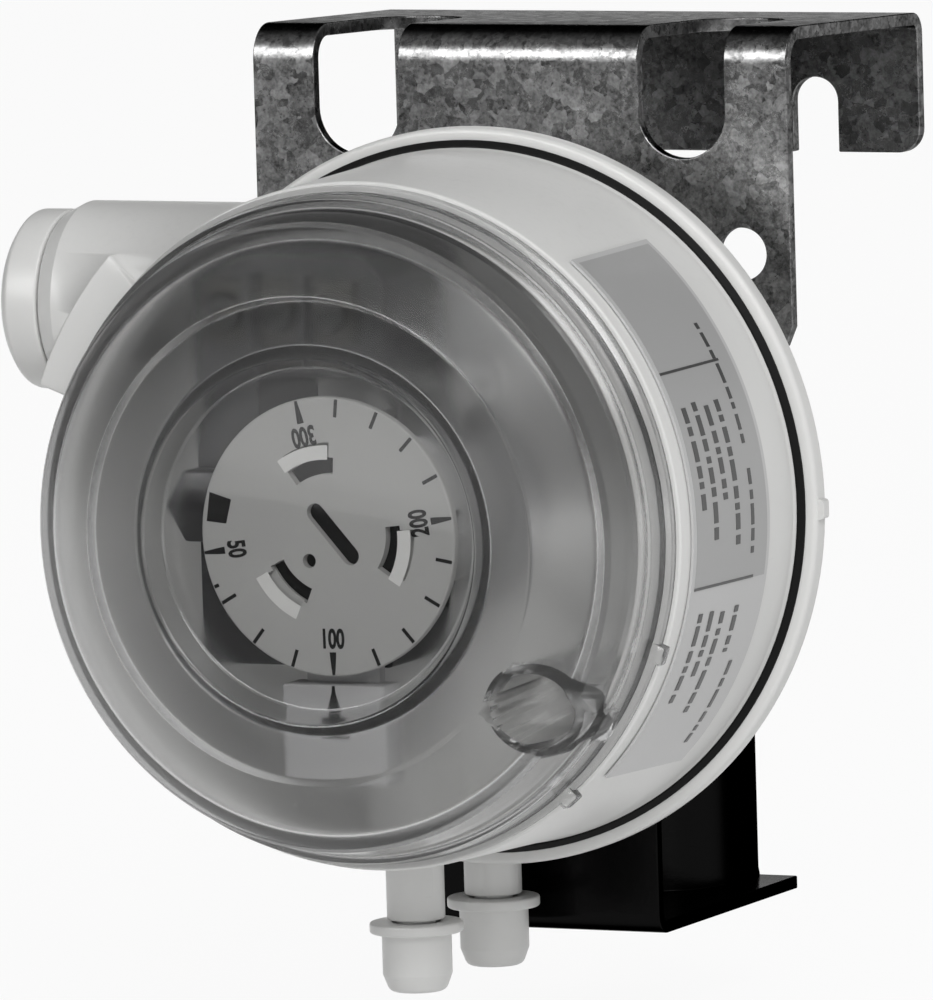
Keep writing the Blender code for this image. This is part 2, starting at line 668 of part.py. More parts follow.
# ports
def port_cap(name, h):
    top = PORT_STEP_Z + GAP
    bore = PORT_TIP_R + GAP
    end = PORT_END_Z + GAP + CAP_END_T
    foot = CAP_BARREL_R - 0.0004
    round_end = [(foot * math.sin(a), end - 0.0014 + 0.0014 * math.cos(a))
                 for a in (math.radians(d) for d in (30, 55, 80))]
    profile = ([(0.0, end)] + round_end
               + [(CAP_BARREL_R, top + CAP_COLLAR_T), (CAP_COLLAR_R, top + CAP_COLLAR_T),
                  (CAP_COLLAR_R, top), (bore, top), (bore, PORT_END_Z + GAP), (0.0, PORT_END_Z + GAP)])
    cap = turned(name, profile, 18, at(PORT_X, h, 0.0), DOWNWARD)
    return finish(cap, pale_plastic)


# diaphragm drive
def diaphragm():
    middle = -(SPIGOT_DEPTH + SEAT_DEPTH) / 2
    front, back = middle + DIAPHRAGM_T / 2, middle - DIAPHRAGM_T / 2
    bead_out, bead_in = BEAD_OUT_R, CHAMBER_R + 0.0005
    count, depth, inner, outer = 5, 0.0030, PLATE_R + 0.0012, CHAMBER_R - 0.0010

    def wave(shift):
        points = []
        for i in range(count):
            a = math.pi * i / (count - 1)
            r = (inner + outer) / 2 - (outer - inner) / 2 * math.cos(a)
            points.append((r, shift - depth * math.sin(a)))
        return points
    profile = ([(0.0, front)] + wave(front)
               + [(bead_in, middle + BEAD_T / 2), (bead_out, middle + BEAD_T / 2),
                  (bead_out, middle - BEAD_T / 2), (bead_in, middle - BEAD_T / 2)]
               + wave(back)[::-1] + [(0.0, back)])
    return finish(turned("diaphragm", profile, 24), silicone, 60.0)


def diaphragm_front():
    return -(SPIGOT_DEPTH + SEAT_DEPTH) / 2 + DIAPHRAGM_T / 2


def diaphragm_plate():
    back = diaphragm_front() + GAP
    front = back + PLATE_T
    rim = 0.0012
    profile = [(0.0, front + 0.0002), (PIN_R + 0.0016, front + 0.0002), (PIN_R + 0.0018, front),
               (PLATE_R - rim, front), (PLATE_R - rim, front + 0.0006), (PLATE_R, front + 0.0006),
               (PLATE_R, back), (0.0, back)]
    disc = turned("diaphragm_plate", profile, 30)
    socket = rod("plate_socket", PIN_R + GAP, back + 0.0005, front + 0.002, 16)
    cut(disc, socket)
    return finish(disc, pale_plastic)


def plunger_pin():
    start = diaphragm_front() + GAP + 0.0005 + GAP
    top = PIN_TOP_H
    profile = [(0.0, top), (PIN_R - 0.0005, top), (PIN_R, top - 0.0004), (PIN_R, start), (0.0, start)]
    return finish(turned("plunger_pin", profile, 16), bright_steel)


def lever():
    pivot_h = LEVER_BACK_H + LEVER_T / 2
    eye_r = LEVER_PIN_R + 2 * GAP + 0.0009
    pivot = at(0.0, pivot_h, LEVER_PIVOT_Z)
    half = LEVER_W / 2
    eye = rod("lever", eye_r, -half, half, 20, False, (0, math.pi / 2, 0), pivot)
    outline = [(half, LEVER_PIVOT_Z - eye_r / 2), (-half, LEVER_PIVOT_Z - eye_r / 2),
               (-half, LEVER_TAPER_Z), (-LEVER_NOSE, LEVER_TIP_Z), (LEVER_NOSE, LEVER_TIP_Z),
               (half, LEVER_TAPER_Z)]
    arm = plate("lever_arm", outline, LEVER_T, at(0.0, LEVER_BACK_H, 0.0))
    join(eye, arm)
    hole = rod("lever_eye", LEVER_PIN_R + GAP, -0.010, 0.010, 12, rotation=(0, math.pi / 2, 0))
    hole.location = pivot
    cut(eye, hole)
    return finish(eye, bright_steel)


def lever_pin():
    half = LEVER_W / 2 + LUG_GAP + LUG_T + 0.0005
    pivot = at(0.0, LEVER_BACK_H + LEVER_T / 2, LEVER_PIVOT_Z)
    pin = rod("lever_pin", LEVER_PIN_R, -half, half, 16, False, (0, math.pi / 2, 0), pivot)
    return finish(pin, bright_steel)


# set-point spring and dial
def spring():
    low = LEVER_FRONT_H + GAP + SPRING_WIRE_R
    high = NUT_H - GAP - SPRING_WIRE_R
    per_turn = 10
    total = SPRING_TURNS * per_turn
    curve = bpy.data.curves.new("spring", "CURVE")
    curve.dimensions = "3D"
    curve.bevel_depth = SPRING_WIRE_R
    curve.bevel_resolution = 1
    curve.use_fill_caps = True
    wire = curve.splines.new("POLY")
    wire.points.add(total)
    for i, point in enumerate(wire.points):
        a = 2 * math.pi * i / per_turn
        share = min(max((i / per_turn - 0.75) / (SPRING_TURNS - 1.5), 0.0), 1.0)
        rise = 1.6 * SPRING_WIRE_R * 2
        lift = low + share * (high - low - rise) + rise * i / total
        point.co = (SPRING_R * math.cos(a), SPRING_R * math.sin(a), lift, 1.0)
    coil = bpy.data.objects.new("spring_wire", curve)
    bpy.context.scene.collection.objects.link(coil)
    coil.rotation_euler = FORWARD
    return finish(solid_from_curve("spring", coil, False), bright_steel)


def spring_nut():
    outer = TOWER_R - TOWER_WALL - GAP
    profile = [(outer, NUT_H + NUT_T), (outer, NUT_H), (STEM_R + GAP, NUT_H), (STEM_R + GAP, NUT_H + NUT_T)]
    nut = turned("spring_nut", profile, 24, closed=True)
    for sign in (1, -1):
        key = block("nut_key_%d" % sign, (sign * (outer - 0.0006), NUT_H, -KEY_HALF),
                    (sign * (TOWER_R - 0.0002), NUT_H + NUT_T, KEY_HALF))
        join(nut, key)
    return finish(nut, pale_plastic)


def dial():
    back = DIAL_FACE_H - DIAL_T
    shoulder = STEM_R + 0.0014
    profile = [(0.0, DIAL_FACE_H), (DIAL_R - 0.0003, DIAL_FACE_H), (DIAL_R, DIAL_FACE_H - 0.0003),
               (DIAL_R, back), (shoulder, back), (shoulder, TOWER_TOP_H + GAP), (STEM_R, TOWER_TOP_H + GAP),
               (STEM_R, STEM_END_H + 0.0004), (STEM_R - 0.0004, STEM_END_H), (0.0, STEM_END_H)]
    disc = turned("dial", profile, 36)
    for i, middle in enumerate(WINDOW_ANGLES):
        low, high = middle - WINDOW_HALF, middle + WINDOW_HALF
        step = math.radians(1.5)
        ledge_line = arc(WINDOW_OUT_R, low, high, 7) + arc(WINDOW_MID_R - 0.0004, high, low, 7)
        slot_line = (arc(WINDOW_MID_R, low + step, high - step, 7)
                     + arc(WINDOW_IN_R, high - step, low + step, 7))
        ledge = plate("dial_ledge_%d" % i, ledge_line, 0.002, at(0.0, DIAL_FACE_H - LEDGE_DEPTH, 0.0))
        slot = plate("dial_slot_%d" % i, slot_line, DIAL_T + 0.002, at(0.0, back - 0.001, 0.0))
        cut(disc, ledge, slot)
    driver = plate("driver_slot", obround(DRIVER_SLOT_L, DRIVER_SLOT_W, DRIVER_SLOT_ANGLE), 0.003,
                   at(0.0, DIAL_FACE_H - DRIVER_SLOT_DEPTH, 0.0))
    hole = rod("dial_hole", DIAL_HOLE_R, DIAL_FACE_H - 0.0012, DIAL_FACE_H + 0.001, 10)
    hole.location = at(DIAL_HOLE[0], 0.0, DIAL_HOLE[1])
    cut(disc, driver, hole)
    return finish(disc, pale_plastic)


def dial_frame():
    base = PARTITION_FACE_H + GAP
    inner = TOWER_R - TOWER_WALL
    rim = TOWER_R + 0.0022
    profile = [(STEM_R + GAP, TOWER_TOP_H), (rim, TOWER_TOP_H), (rim, TOWER_TOP_H - 0.0014),
               (TOWER_R, TOWER_TOP_H - 0.0022), (TOWER_R, base + 0.0016), (TOWER_BASE_R, base + 0.0014),
               (TOWER_BASE_R, base), (inner, base), (inner, TOWER_TOP_H - TOWER_WALL),
               (STEM_R + GAP, TOWER_TOP_H - TOWER_WALL)]
    tower = turned("dial_frame", profile, 30, closed=True)
    arm = block("pointer_arm", (-POINTER_ARM_W / 2, TOWER_TOP_H - 0.0014, POINTER_TOP_Z - 0.0010),
                (POINTER_ARM_W / 2, TOWER_TOP_H - 0.0001, -TOWER_R))
    head = block("pointer_head", (-POINTER_W / 2, POINTER_FACE_H - POINTER_T, POINTER_END_Z),
                 (POINTER_W / 2, POINTER_FACE_H, POINTER_TOP_Z))
    join(tower, arm, head)
    reach = TOWER_BASE_R + 0.004
    lever_room = LEVER_W / 2 + 2 * GAP
    lever_slot = block("lever_slot", (-lever_room, base - 0.001, -reach),
                       (lever_room, LEVER_FRONT_H + 0.0024, reach))
    key_slot = block("key_slot", (-TOWER_R - 0.001, NUT_H - 0.0034, -KEY_HALF - GAP),
                     (TOWER_R + 0.001, NUT_H + NUT_T + 0.0034, KEY_HALF + GAP))
    cut(tower, lever_slot, key_slot)
    return finish(tower, pale_plastic)


# snap switch
def snap_switch():
    left, right = SWITCH_LEFT, SWITCH_RIGHT
    column = left + SWITCH_COLUMN_W
    outline = [(left, SWITCH_TOP), (left, SWITCH_END_Z + 0.0015), (left + 0.0015, SWITCH_END_Z),
               (right, SWITCH_END_Z), (right, SWITCH_LEG_Z), (column, SWITCH_LEG_Z),
               (column, SWITCH_SHELF_Z), (right, SWITCH_SHELF_Z), (right, SWITCH_TOP - 0.003),
               (right - 0.003, SWITCH_TOP)]
    body = plate("snap_switch", outline, SWITCH_FACE_H - SWITCH_BACK_H, at(0.0, SWITCH_BACK_H, 0.0),
                 guide=False)
    trim = rod("switch_round", NECK_R - 0.0006, SWITCH_BACK_H - 0.002, SWITCH_FACE_H + 0.002, ROUND)
    apply_tool(body, trim, "INTERSECT")
    fixing = rod("switch_fixing_hole", SCREW_R + GAP, SWITCH_BACK_H - 0.001, SWITCH_FACE_H + 0.001, 12)
    fixing.location = at(FIXING_X, 0.0, FIXING_Z)
    pocket = rod("button_pocket", BUTTON_R + GAP, SWITCH_BACK_H - 0.001, SWITCH_BACK_H + BUTTON_L, 16)
    pocket.location = at(0.0, 0.0, BUTTON_Z)
    cut(body, fixing, pocket)
    for i in range(3):
        hole = rod("terminal_hole_%d" % i, SCREW_R + GAP, SWITCH_FACE_H - 0.0065,
                   SWITCH_FACE_H + 0.001, 12)
        hole.location = at(TERMINAL_X + i * TERMINAL_PITCH, 0.0, TERMINAL_Z)
        cut(body, hole)
        if i < 2:
            x = TERMINAL_X + (i + 0.5) * TERMINAL_PITCH
            w, tall, deep = RIB
            rib = block("terminal_rib_%d" % i, (x - w / 2, SWITCH_FACE_H - 0.0005, TERMINAL_Z - deep / 2),
                        (x + w / 2, SWITCH_FACE_H + tall - 0.0005, TERMINAL_Z + deep / 2))
            join(body, rib)
    return finish(body, black_plastic)


def switch_button():
    start = LEVER_FRONT_H + GAP
    profile = [(0.0, start + BUTTON_L), (BUTTON_R, start + BUTTON_L), (BUTTON_R, start + 0.0005),
               (BUTTON_R - 0.0005, start), (0.0, start)]
    return finish(turned("switch_button", profile, 16, at(0.0, 0.0, BUTTON_Z)), black_plastic)


def switch_screw():
    head = SWITCH_FACE_H + GAP
    end = SWITCH_BACK_H - 0.0060
    profile = [(0.0, head + 0.0001), (SCREW_R, head + 0.0001), (SCREW_R, end), (0.0, end)]
    screw = turned("switch_screw", profile, 12, at(FIXING_X, 0.0, FIXING_Z))
    corner = FIXING_AF / math.sqrt(3.0)
    outline = arc(corner, 0.0, math.radians(300.0), 6)
    nut = plate("switch_screw_head", outline, FIXING_HEAD_T, at(FIXING_X, head, FIXING_Z))
    join(screw, nut)
    return finish(screw, black_plastic)


def terminal(index):
    x = TERMINAL_X + index * TERMINAL_PITCH
    w, d, t = TERMINAL_SIZE
    low = SWITCH_FACE_H + GAP
    clamp = block("terminal_%d" % (index + 1), (x - w / 2, low, TERMINAL_Z - d / 2),
                  (x + w / 2, low + t, TERMINAL_Z + d / 2), False)
    hole = rod("terminal_eye_%d" % index, SCREW_R + GAP, low - 0.001, low + t + 0.001, 12)
    hole.location = at(x, 0.0, TERMINAL_Z)
    cut(clamp, hole)
    return finish(clamp, brass)


def terminal_screw(index):
    x = TERMINAL_X + index * TERMINAL_PITCH
    seat = SWITCH_FACE_H + GAP + TERMINAL_SIZE[2] + GAP
    head, r = seat + TERMINAL_HEAD_T, TERMINAL_HEAD_R
    profile = [(0.0, head), (r - 0.0003, head), (r, head - 0.0003), (r, seat), (SCREW_R, seat),
               (SCREW_R, SWITCH_FACE_H - 0.0055), (0.0, SWITCH_FACE_H - 0.0060)]
    screw = turned("terminal_screw_%d" % (index + 1), profile, 12, at(x, 0.0, TERMINAL_Z))
    slot = block("terminal_screw_slot_%d" % index, (x - 0.0025, head - 0.0006, TERMINAL_Z - 0.0003),
                 (x + 0.0025, head + 0.001, TERMINAL_Z + 0.0003))
    cut(screw, slot)
    return finish(screw, bright_steel)


def cover_screw():
    well = well_centre()
    seat = WELL_FLOOR_H + GAP
    head, r, end = seat + COVER_SCREW_HEAD_T, COVER_SCREW_HEAD_R, WELL_FLOOR_H - COVER_SCREW_L
    profile = [(0.0, head), (r - 0.0005, head), (r, head - 0.0006), (r, seat), (COVER_SCREW_R, seat),
               (COVER_SCREW_R, end + 0.0005), (0.0, end)]
    screw = turned("cover_screw", profile, 16, well)
    slot = block("cover_screw_slot", (-0.0035, head - 0.0010, -0.0004), (0.0035, head + 0.001, 0.0004))
    turn = Matrix.Rotation(COVER_SCREW_TURN, 4, "Y")
    slot.matrix_world = Matrix.Translation(well) @ turn @ Matrix.Translation(slot.location)
    cut(screw, slot)
    return finish(screw, bright_steel)


# bracket
def side_profile():
    """Outline of the folded sheet seen from the side, as (depth behind the joint plane, height)."""
    front, wall = PLATE_FRONT_Y, WALL_OFFSET
    t, outer, inner = SHEET_T, BEND_R, BEND_R - SHEET_T
    low = TOP_Z - REAR_FLANGE_DROP

    def bend(centre, radius, start, end):
        return arc(radius, math.radians(start), math.radians(end), 5, centre)
    points = [(wall, low), *bend((wall - outer, TOP_Z - outer), outer, 0, 90),
              *bend((front + outer, TOP_Z - outer), outer, 90, 180),
              *bend((front + outer, FOOT_Z + outer), outer, 180, 270), (wall, FOOT_Z), (wall, FOOT_Z + t),
              *bend((front + outer, FOOT_Z + outer), inner, 270, 180),
              *bend((front + outer, TOP_Z - outer), inner, 180, 90),
              *bend((wall - outer, TOP_Z - outer), inner, 90, 0), (wall - t, low)]
    return points


def bracket():
    outline = side_profile()
    sheet = plate("bracket", outline, PLATE_W, (-PLATE_W / 2, 0.0, 0.0),
                  (math.pi / 2, 0.0, math.pi / 2), guide=False)
    deep = WALL_OFFSET + 0.01
    back, front = -PLATE_FRONT_Y - 0.004, -PLATE_FRONT_Y + 0.002
    for sign in (1, -1):
        edge, tab = sign * PLATE_W / 2, sign * TAB_W / 2
        corner = PLATE_LOW_Z + PLATE_CHAMFER[1]
        outline = [(edge * 1.1, FOOT_Z - 0.01), (edge * 1.1, corner), (edge, corner),
                   (edge - sign * PLATE_CHAMFER[0], PLATE_LOW_Z), (tab, PLATE_LOW_Z), (tab, FOOT_Z - 0.01)]
        trim = plate("bracket_trim_%d" % sign, outline, deep, (0.0, deep, 0.0))
        cut(sheet, trim)
        cut_access(sheet, sign)
        cut_hanging_slot(sheet, sign)
        round_flange_corner(sheet, sign)
        hole = rod("bracket_hole_%d" % sign, HOLE_R, back, front, 20)
        hole.location = at(sign * HOLE_X, 0.0, HOLE_Z)
        screw_hole = rod("bracket_screw_hole_%d" % sign, BRACKET_SCREW_R + GAP, back, front, 14)
        screw_hole.location = at(0.0, 0.0, sign * BRACKET_SCREW_Z)
        cut(sheet, hole, screw_hole)
    add_upright(sheet)
    return finish(sheet, zinc_steel)


def cut_access(sheet, sign):
    """Screwdriver slot in the front plate that runs over the bend into the top."""
    x, half = sign * ACCESS_X, ACCESS_W / 2
    low = TOP_Z - ACCESS_DOWN
    outline = (arc(half, math.pi, 2 * math.pi, 9, (x, low + half))
               + [(x + half, TOP_Z + 0.005), (x - half, TOP_Z + 0.005)])
    front = plate("access_front_%d" % sign, outline, 0.006, (0.0, PLATE_FRONT_Y + 0.004, 0.0))
    end = PLATE_FRONT_Y + ACCESS_BACK
    outline = (arc(half, 0.0, math.pi, 9, (x, end - half))
               + [(x - half, PLATE_FRONT_Y - 0.002), (x + half, PLATE_FRONT_Y - 0.002)])
    top = plate("access_top_%d" % sign, outline, 0.006, (0.0, 0.0, TOP_Z - 0.004), (0.0, 0.0, 0.0))
    cut(sheet, front, top)


def cut_hanging_slot(sheet, sign):
    x, half = sign * ACCESS_X, HANG_W / 2
    low = TOP_Z - REAR_FLANGE_DROP
    outline = (arc(half, 0.0, math.pi, 9, (x, low + HANG_UP - half))
               + [(x - half, low - 0.002), (x + half, low - 0.002)])
    slot = plate("hanging_slot_%d" % sign, outline, 0.005, (0.0, WALL_OFFSET + 0.001, 0.0))
    cut(sheet, slot)


def round_flange_corner(sheet, sign):
    radius, low, edge = FLANGE_CORNER_R, TOP_Z - REAR_FLANGE_DROP, sign * PLATE_W / 2
    centre = (edge - sign * radius, low + radius)
    start, end = (-math.pi / 2, 0.0) if sign > 0 else (1.5 * math.pi, math.pi)
    past = edge + sign * 0.001
    outline = arc(radius, start, end, 7, centre) + [(past, low + radius), (past, low - 0.001),
                                                    (centre[0], low - 0.001)]
    tool = plate("flange_corner_%d" % sign, outline, 0.005, (0.0, WALL_OFFSET + 0.001, 0.0))
    cut(sheet, tool)


def add_upright(sheet):
    """Round-fronted channel that stands on the foot, open to the wall."""
    centre = WALL_OFFSET - UPRIGHT_FRONT + UPRIGHT_R
    inner = UPRIGHT_R - SHEET_T
    outline = ([(UPRIGHT_R, WALL_OFFSET)] + arc(UPRIGHT_R, 0.0, -math.pi, 15, (0.0, centre))
               + [(-UPRIGHT_R, WALL_OFFSET), (-inner, WALL_OFFSET)]
               + arc(inner, -math.pi, 0.0, 15, (0.0, centre)) + [(inner, WALL_OFFSET)])
    channel = plate("upright", outline, UPRIGHT_H + SHEET_T / 2, (0.0, 0.0, FOOT_Z + SHEET_T / 2),
                    (0.0, 0.0, 0.0))
    join(sheet, channel)


def bracket_screw(name, z):
    seat = PLATE_FRONT_Y + SHEET_T + GAP
    tip = REAR_DEPTH - BRACKET_SCREW_GRIP
    head = seat + BRACKET_HEAD_T
    profile = [(0.0, -tip), (BRACKET_SCREW_R - 0.0004, -tip), (BRACKET_SCREW_R, -tip - 0.0006),
               (BRACKET_SCREW_R, -seat), (BRACKET_HEAD_R, -seat), (BRACKET_HEAD_R, -head + 0.0008),
               (BRACKET_HEAD_R - 0.0008, -head), (0.0, -head)]
    screw = turned(name, profile, 14, at(0.0, 0.0, z))
    slot = block(name + "_slot", (-0.0050, -head - 0.001, z - 0.0004), (0.0050, -head + 0.0009, z + 0.0004))
    cut(screw, slot)
    return finish(screw, bright_steel)


# assembly
def build():
    clear_scene()
    make_collections()
    rear_housing()
    front_housing()
    cover()
    cover_seal()
    cover_screw()
    label()
    gland_nut()
    gland_bush()
    port_cap("port_cap_front", PORT_FRONT_H)
    port_cap("port_cap_rear", PORT_REAR_H)
    diaphragm()
    diaphragm_plate()
    plunger_pin()
    lever()
    lever_pin()
    spring()
    spring_nut()
    dial()
    dial_frame()
    snap_switch()
    switch_button()
    switch_screw()
    for index in range(3):
        terminal(index)
        terminal_screw(index)
    bracket()
    bracket_screw("bracket_screw_upper", BRACKET_SCREW_Z)
    bracket_screw("bracket_screw_lower", -BRACKET_SCREW_Z)
    place()


build()
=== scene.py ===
"""Looks of the differential pressure switch: its pieces, its finishes and a small studio.

Sizes are in millimetres in the housing's own frame: x to the right, h forward from the joint plane
of the two housing halves, z up from the round axis. at() turns such a point into the CAD's frame.
"""
import math

import bmesh
import bpy
import numpy as np
from bpy.props import BoolProperty, FloatProperty, FloatVectorProperty, IntProperty, PointerProperty
from mathutils import Matrix, Vector


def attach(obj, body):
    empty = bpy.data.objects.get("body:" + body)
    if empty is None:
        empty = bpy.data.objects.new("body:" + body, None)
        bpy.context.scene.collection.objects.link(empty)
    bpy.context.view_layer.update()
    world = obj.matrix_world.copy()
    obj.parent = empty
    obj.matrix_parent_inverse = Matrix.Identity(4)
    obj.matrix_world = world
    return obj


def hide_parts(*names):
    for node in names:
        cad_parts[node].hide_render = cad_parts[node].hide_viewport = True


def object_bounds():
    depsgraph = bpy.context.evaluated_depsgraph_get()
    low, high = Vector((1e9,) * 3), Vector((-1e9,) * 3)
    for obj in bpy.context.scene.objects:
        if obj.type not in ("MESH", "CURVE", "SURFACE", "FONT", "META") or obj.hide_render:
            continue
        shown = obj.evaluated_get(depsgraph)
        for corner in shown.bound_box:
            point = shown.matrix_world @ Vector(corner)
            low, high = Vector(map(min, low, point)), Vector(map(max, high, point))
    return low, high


bl_info = {
    "name": "Pressure Switch",
    "version": (1, 0, 0),
    "blender": (4, 5, 0),
    "location": "View3D > Sidebar > Switch",
    "description": "Builds the pressure switch, its finishes and its stage",
    "category": "Object",
}

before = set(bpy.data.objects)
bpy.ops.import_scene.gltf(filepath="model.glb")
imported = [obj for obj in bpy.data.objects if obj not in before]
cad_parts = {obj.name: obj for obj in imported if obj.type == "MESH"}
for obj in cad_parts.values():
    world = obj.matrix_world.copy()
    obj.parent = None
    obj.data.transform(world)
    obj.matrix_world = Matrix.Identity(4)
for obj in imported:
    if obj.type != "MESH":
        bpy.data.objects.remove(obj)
CAD_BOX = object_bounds()

MM = 0.001
HOME = Vector((0.0, -52.5, -42.25))        # middle of the joint plane in the CAD's frame, in millimetres
FORWARD = Matrix.Rotation(math.pi / 2, 4, "X")
LEFTWARD = Matrix.Rotation(-math.pi / 2, 4, "Y")
DOWNWARD = Matrix.Rotation(math.pi, 4, "X")
CREASE = 32.0                              # sharper edges than this, in degrees, stay sharp
COVER_CREASE = 28.0
SCREW_Z = 27.0                             # bracket screws, above and below the axis
DIAL_FACE = 38.1
HEAD_FACE = 37.8                           # face of the pointer's head
STRIP = 0.04                               # height of the thin strips on these faces
WINDOWS = (107.0, 227.0, 347.0)            # middles of the dial's windows, in degrees
DRIVER = (-48.5, (0.65, 0.3))              # turn and middle of the dial's driver slot
TERMINALS = (-14.5, -8.0, -1.5)            # x of the terminals
TERMINAL_Z = 24.0
DUST_TONE = (0.50, 0.50, 0.49, 1.0)
SCUFF_TONE = (0.44, 0.44, 0.43, 1.0)
SHADE_TONE = (0.62, 0.62, 0.60, 1.0)


# Shapes

def at(x, h, z):
    return (Vector((x, -h, z)) + HOME) * MM


def stand(rotation, x=0.0, h=0.0, z=0.0):
    """Matrix that carries a shape from its own millimetres to its place on the switch."""
    return Matrix.Translation(at(x, h, z)) @ rotation @ Matrix.Scale(MM, 4)


WELL = stand(FORWARD, 24.90, 0.0, -17.44)
PORTS = {side: stand(DOWNWARD, -3.0, h) for side, h in (("front", 13.0), ("rear", -7.4))}
GLAND = stand(LEFTWARD, h=17.5, z=23.7)
SWITCH_FIXING = stand(FORWARD, -17.2, 0.0, 2.6)
WINDOW_PLACE = stand(FORWARD, 0.45, 0.0, 0.35)
DIAL_HOLE = stand(FORWARD, -2.35, 0.0, -2.75)


def new_object(name, mesh):
    obj = bpy.data.objects.new(name, mesh)
    bpy.context.scene.collection.objects.link(obj)
    return obj


def mesh_from(name, bm, angle=CREASE):
    bmesh.ops.recalc_face_normals(bm, faces=bm.faces)
    mesh = bpy.data.meshes.new(name)
    bm.to_mesh(mesh)
    bm.free()
    mesh.shade_smooth()
    mesh.set_sharp_from_angle(angle=math.radians(angle))
    return new_object(name, mesh)


def rounded(corners, segments=4):
    """Outline through (a, b) corners; a third value rounds that corner with its radius."""
    points = []
    for i, corner in enumerate(corners):
        here = Vector(corner[:2])
        radius = corner[2] if len(corner) > 2 else 0.0
        if not radius:
            points.append(here)
            continue
        before = (Vector(corners[i - 1][:2]) - here).normalized()
        after = (Vector(corners[(i + 1) % len(corners)][:2]) - here).normalized()
        half = before.angle(after) / 2
        reach = radius / math.tan(half)
        centre = here + (before + after).normalized() * radius / math.sin(half)
        start, end = here + before * reach - centre, here + after * reach - centre
        turn = start.angle_signed(end)
        for k in range(segments + 1):
            points.append(centre + Matrix.Rotation(-turn * k / segments, 2) @ start)
    return points


def lathe(name, profile, steps=128, place=None, closed=False, angle=CREASE):
    """Turned body. The profile holds (radius, height) points along its section."""
    bm = bmesh.new()
    rings = []
    for r, h in profile:
        if r < 1e-6:
            rings.append([bm.verts.new((0.0, 0.0, h))] * steps)
        else:
            rings.append([bm.verts.new((r * math.cos(a), r * math.sin(a), h))
                          for a in (2 * math.pi * i / steps for i in range(steps))])
    pairs = list(zip(rings, rings[1:])) + ([(rings[-1], rings[0])] if closed else [])
    for upper, lower in pairs:
        for i in range(steps):
            j = (i + 1) % steps
            corners = []
            for v in (upper[i], upper[j], lower[j], lower[i]):
                if v not in corners:
                    corners.append(v)
            if len(corners) > 2:
                bm.faces.new(corners)
    bm.transform(place if place is not None else stand(FORWARD))
    return mesh_from(name, bm, angle)


def rod(name, radius, top, end, steps, place=None):
    """Plain cylinder between two heights."""
    return lathe(name, [(0.0, top), (radius, top), (radius, end), (0.0, end)], steps, place)


def slab(name, outline, low, high, place=None, angle=CREASE):
    """Flat outline raised from low to high along its own Z."""
    bm = bmesh.new()
    base = [bm.verts.new((x, y, low)) for x, y in outline]
    top = [bm.verts.new((x, y, high)) for x, y in outline]
    bm.faces.new(base[::-1])
    bm.faces.new(top)
    for i in range(len(base)):
        j = (i + 1) % len(base)
        bm.faces.new((base[i], base[j], top[j], top[i]))
    bm.transform(place if place is not None else stand(FORWARD))
    return mesh_from(name, bm, angle)


def box(name, x, h, z, place=None):
    """Box between pairs of x, h and z."""
    outline = [(x[0], z[0]), (x[1], z[0]), (x[1], z[1]), (x[0], z[1])]
    return slab(name, outline, h[0], h[1], place)


def ring_points(radius, start, end, count, centre=(0.0, 0.0)):
    """Points along an arc, with its angles in degrees."""
    x, y = centre
    return [(x + radius * math.cos(math.radians(a)), y + radius * math.sin(math.radians(a)))
            for a in np.linspace(start, end, count)]


def sector(inner, outer, start, end, count=16):
    return ring_points(outer, start, end, count) + ring_points(inner, end, start, count)


def obround(length, width, angle=0.0, centre=(0.0, 0.0)):
    """Slot outline; length is between the centres of its ends."""
    points = (ring_points(width / 2, -90, 90, 12, (length / 2, 0))
              + ring_points(width / 2, 90, 270, 12, (-length / 2, 0)))
    turn = Matrix.Rotation(math.radians(angle), 2)
    return [tuple(turn @ Vector(p) + Vector(centre)) for p in points]


def open_slot(x, y, end, radius):
    """Slot outline with a round end at y and straight sides that run out to end."""
    start, side = (180, radius) if end > y else (0, -radius)
    return ring_points(radius, start, start + 180, 24, (x, y)) + [(x + side, end), (x - side, end)]


def drop(*objects):
    for obj in objects:
        mesh = obj.data
        bpy.data.objects.remove(obj, do_unlink=True)
        bpy.data.meshes.remove(mesh)


def bake(obj):
    """Applies the modifiers of a piece to its mesh."""
    bpy.context.view_layer.update()
    graph = bpy.context.evaluated_depsgraph_get()
    mesh = bpy.data.meshes.new_from_object(obj.evaluated_get(graph))
    old = obj.data
    obj.modifiers.clear()
    obj.data = mesh
    bpy.data.meshes.remove(old)
    return obj


def combine(obj, operation, *tools, angle=CREASE):
    for tool in tools:
        boolean = obj.modifiers.new(tool.name, "BOOLEAN")
        boolean.operation = operation
        boolean.solver = "EXACT"
        boolean.object = tool
    bake(obj)
    drop(*tools)
    obj.data.shade_smooth()
    obj.data.set_sharp_from_angle(angle=math.radians(angle))
    return obj


def cut(obj, *tools, angle=CREASE):
    return combine(obj, "DIFFERENCE", *tools, angle=angle)


def weld(obj, *tools, angle=CREASE):
    return combine(obj, "UNION", *tools, angle=angle)


def gather(name, objects):
    """One object from several that need no boolean."""
    bm = bmesh.new()
    for obj in objects:
        bm.from_mesh(obj.data)
    mesh = bpy.data.meshes.new(name)
    bm.to_mesh(mesh)
    bm.free()
    drop(*objects)
    mesh.shade_smooth()
    mesh.set_sharp_from_angle(angle=math.radians(CREASE))
    return new_object(name, mesh)


def soften(obj, width, segments=2, angle=35.0):
    bevel = obj.modifiers.new("edges", "BEVEL")
    bevel.width = width * MM
    bevel.segments = segments
    bevel.limit_method = "ANGLE"
    bevel.angle_limit = math.radians(angle)
    bevel.harden_normals = True
    return obj


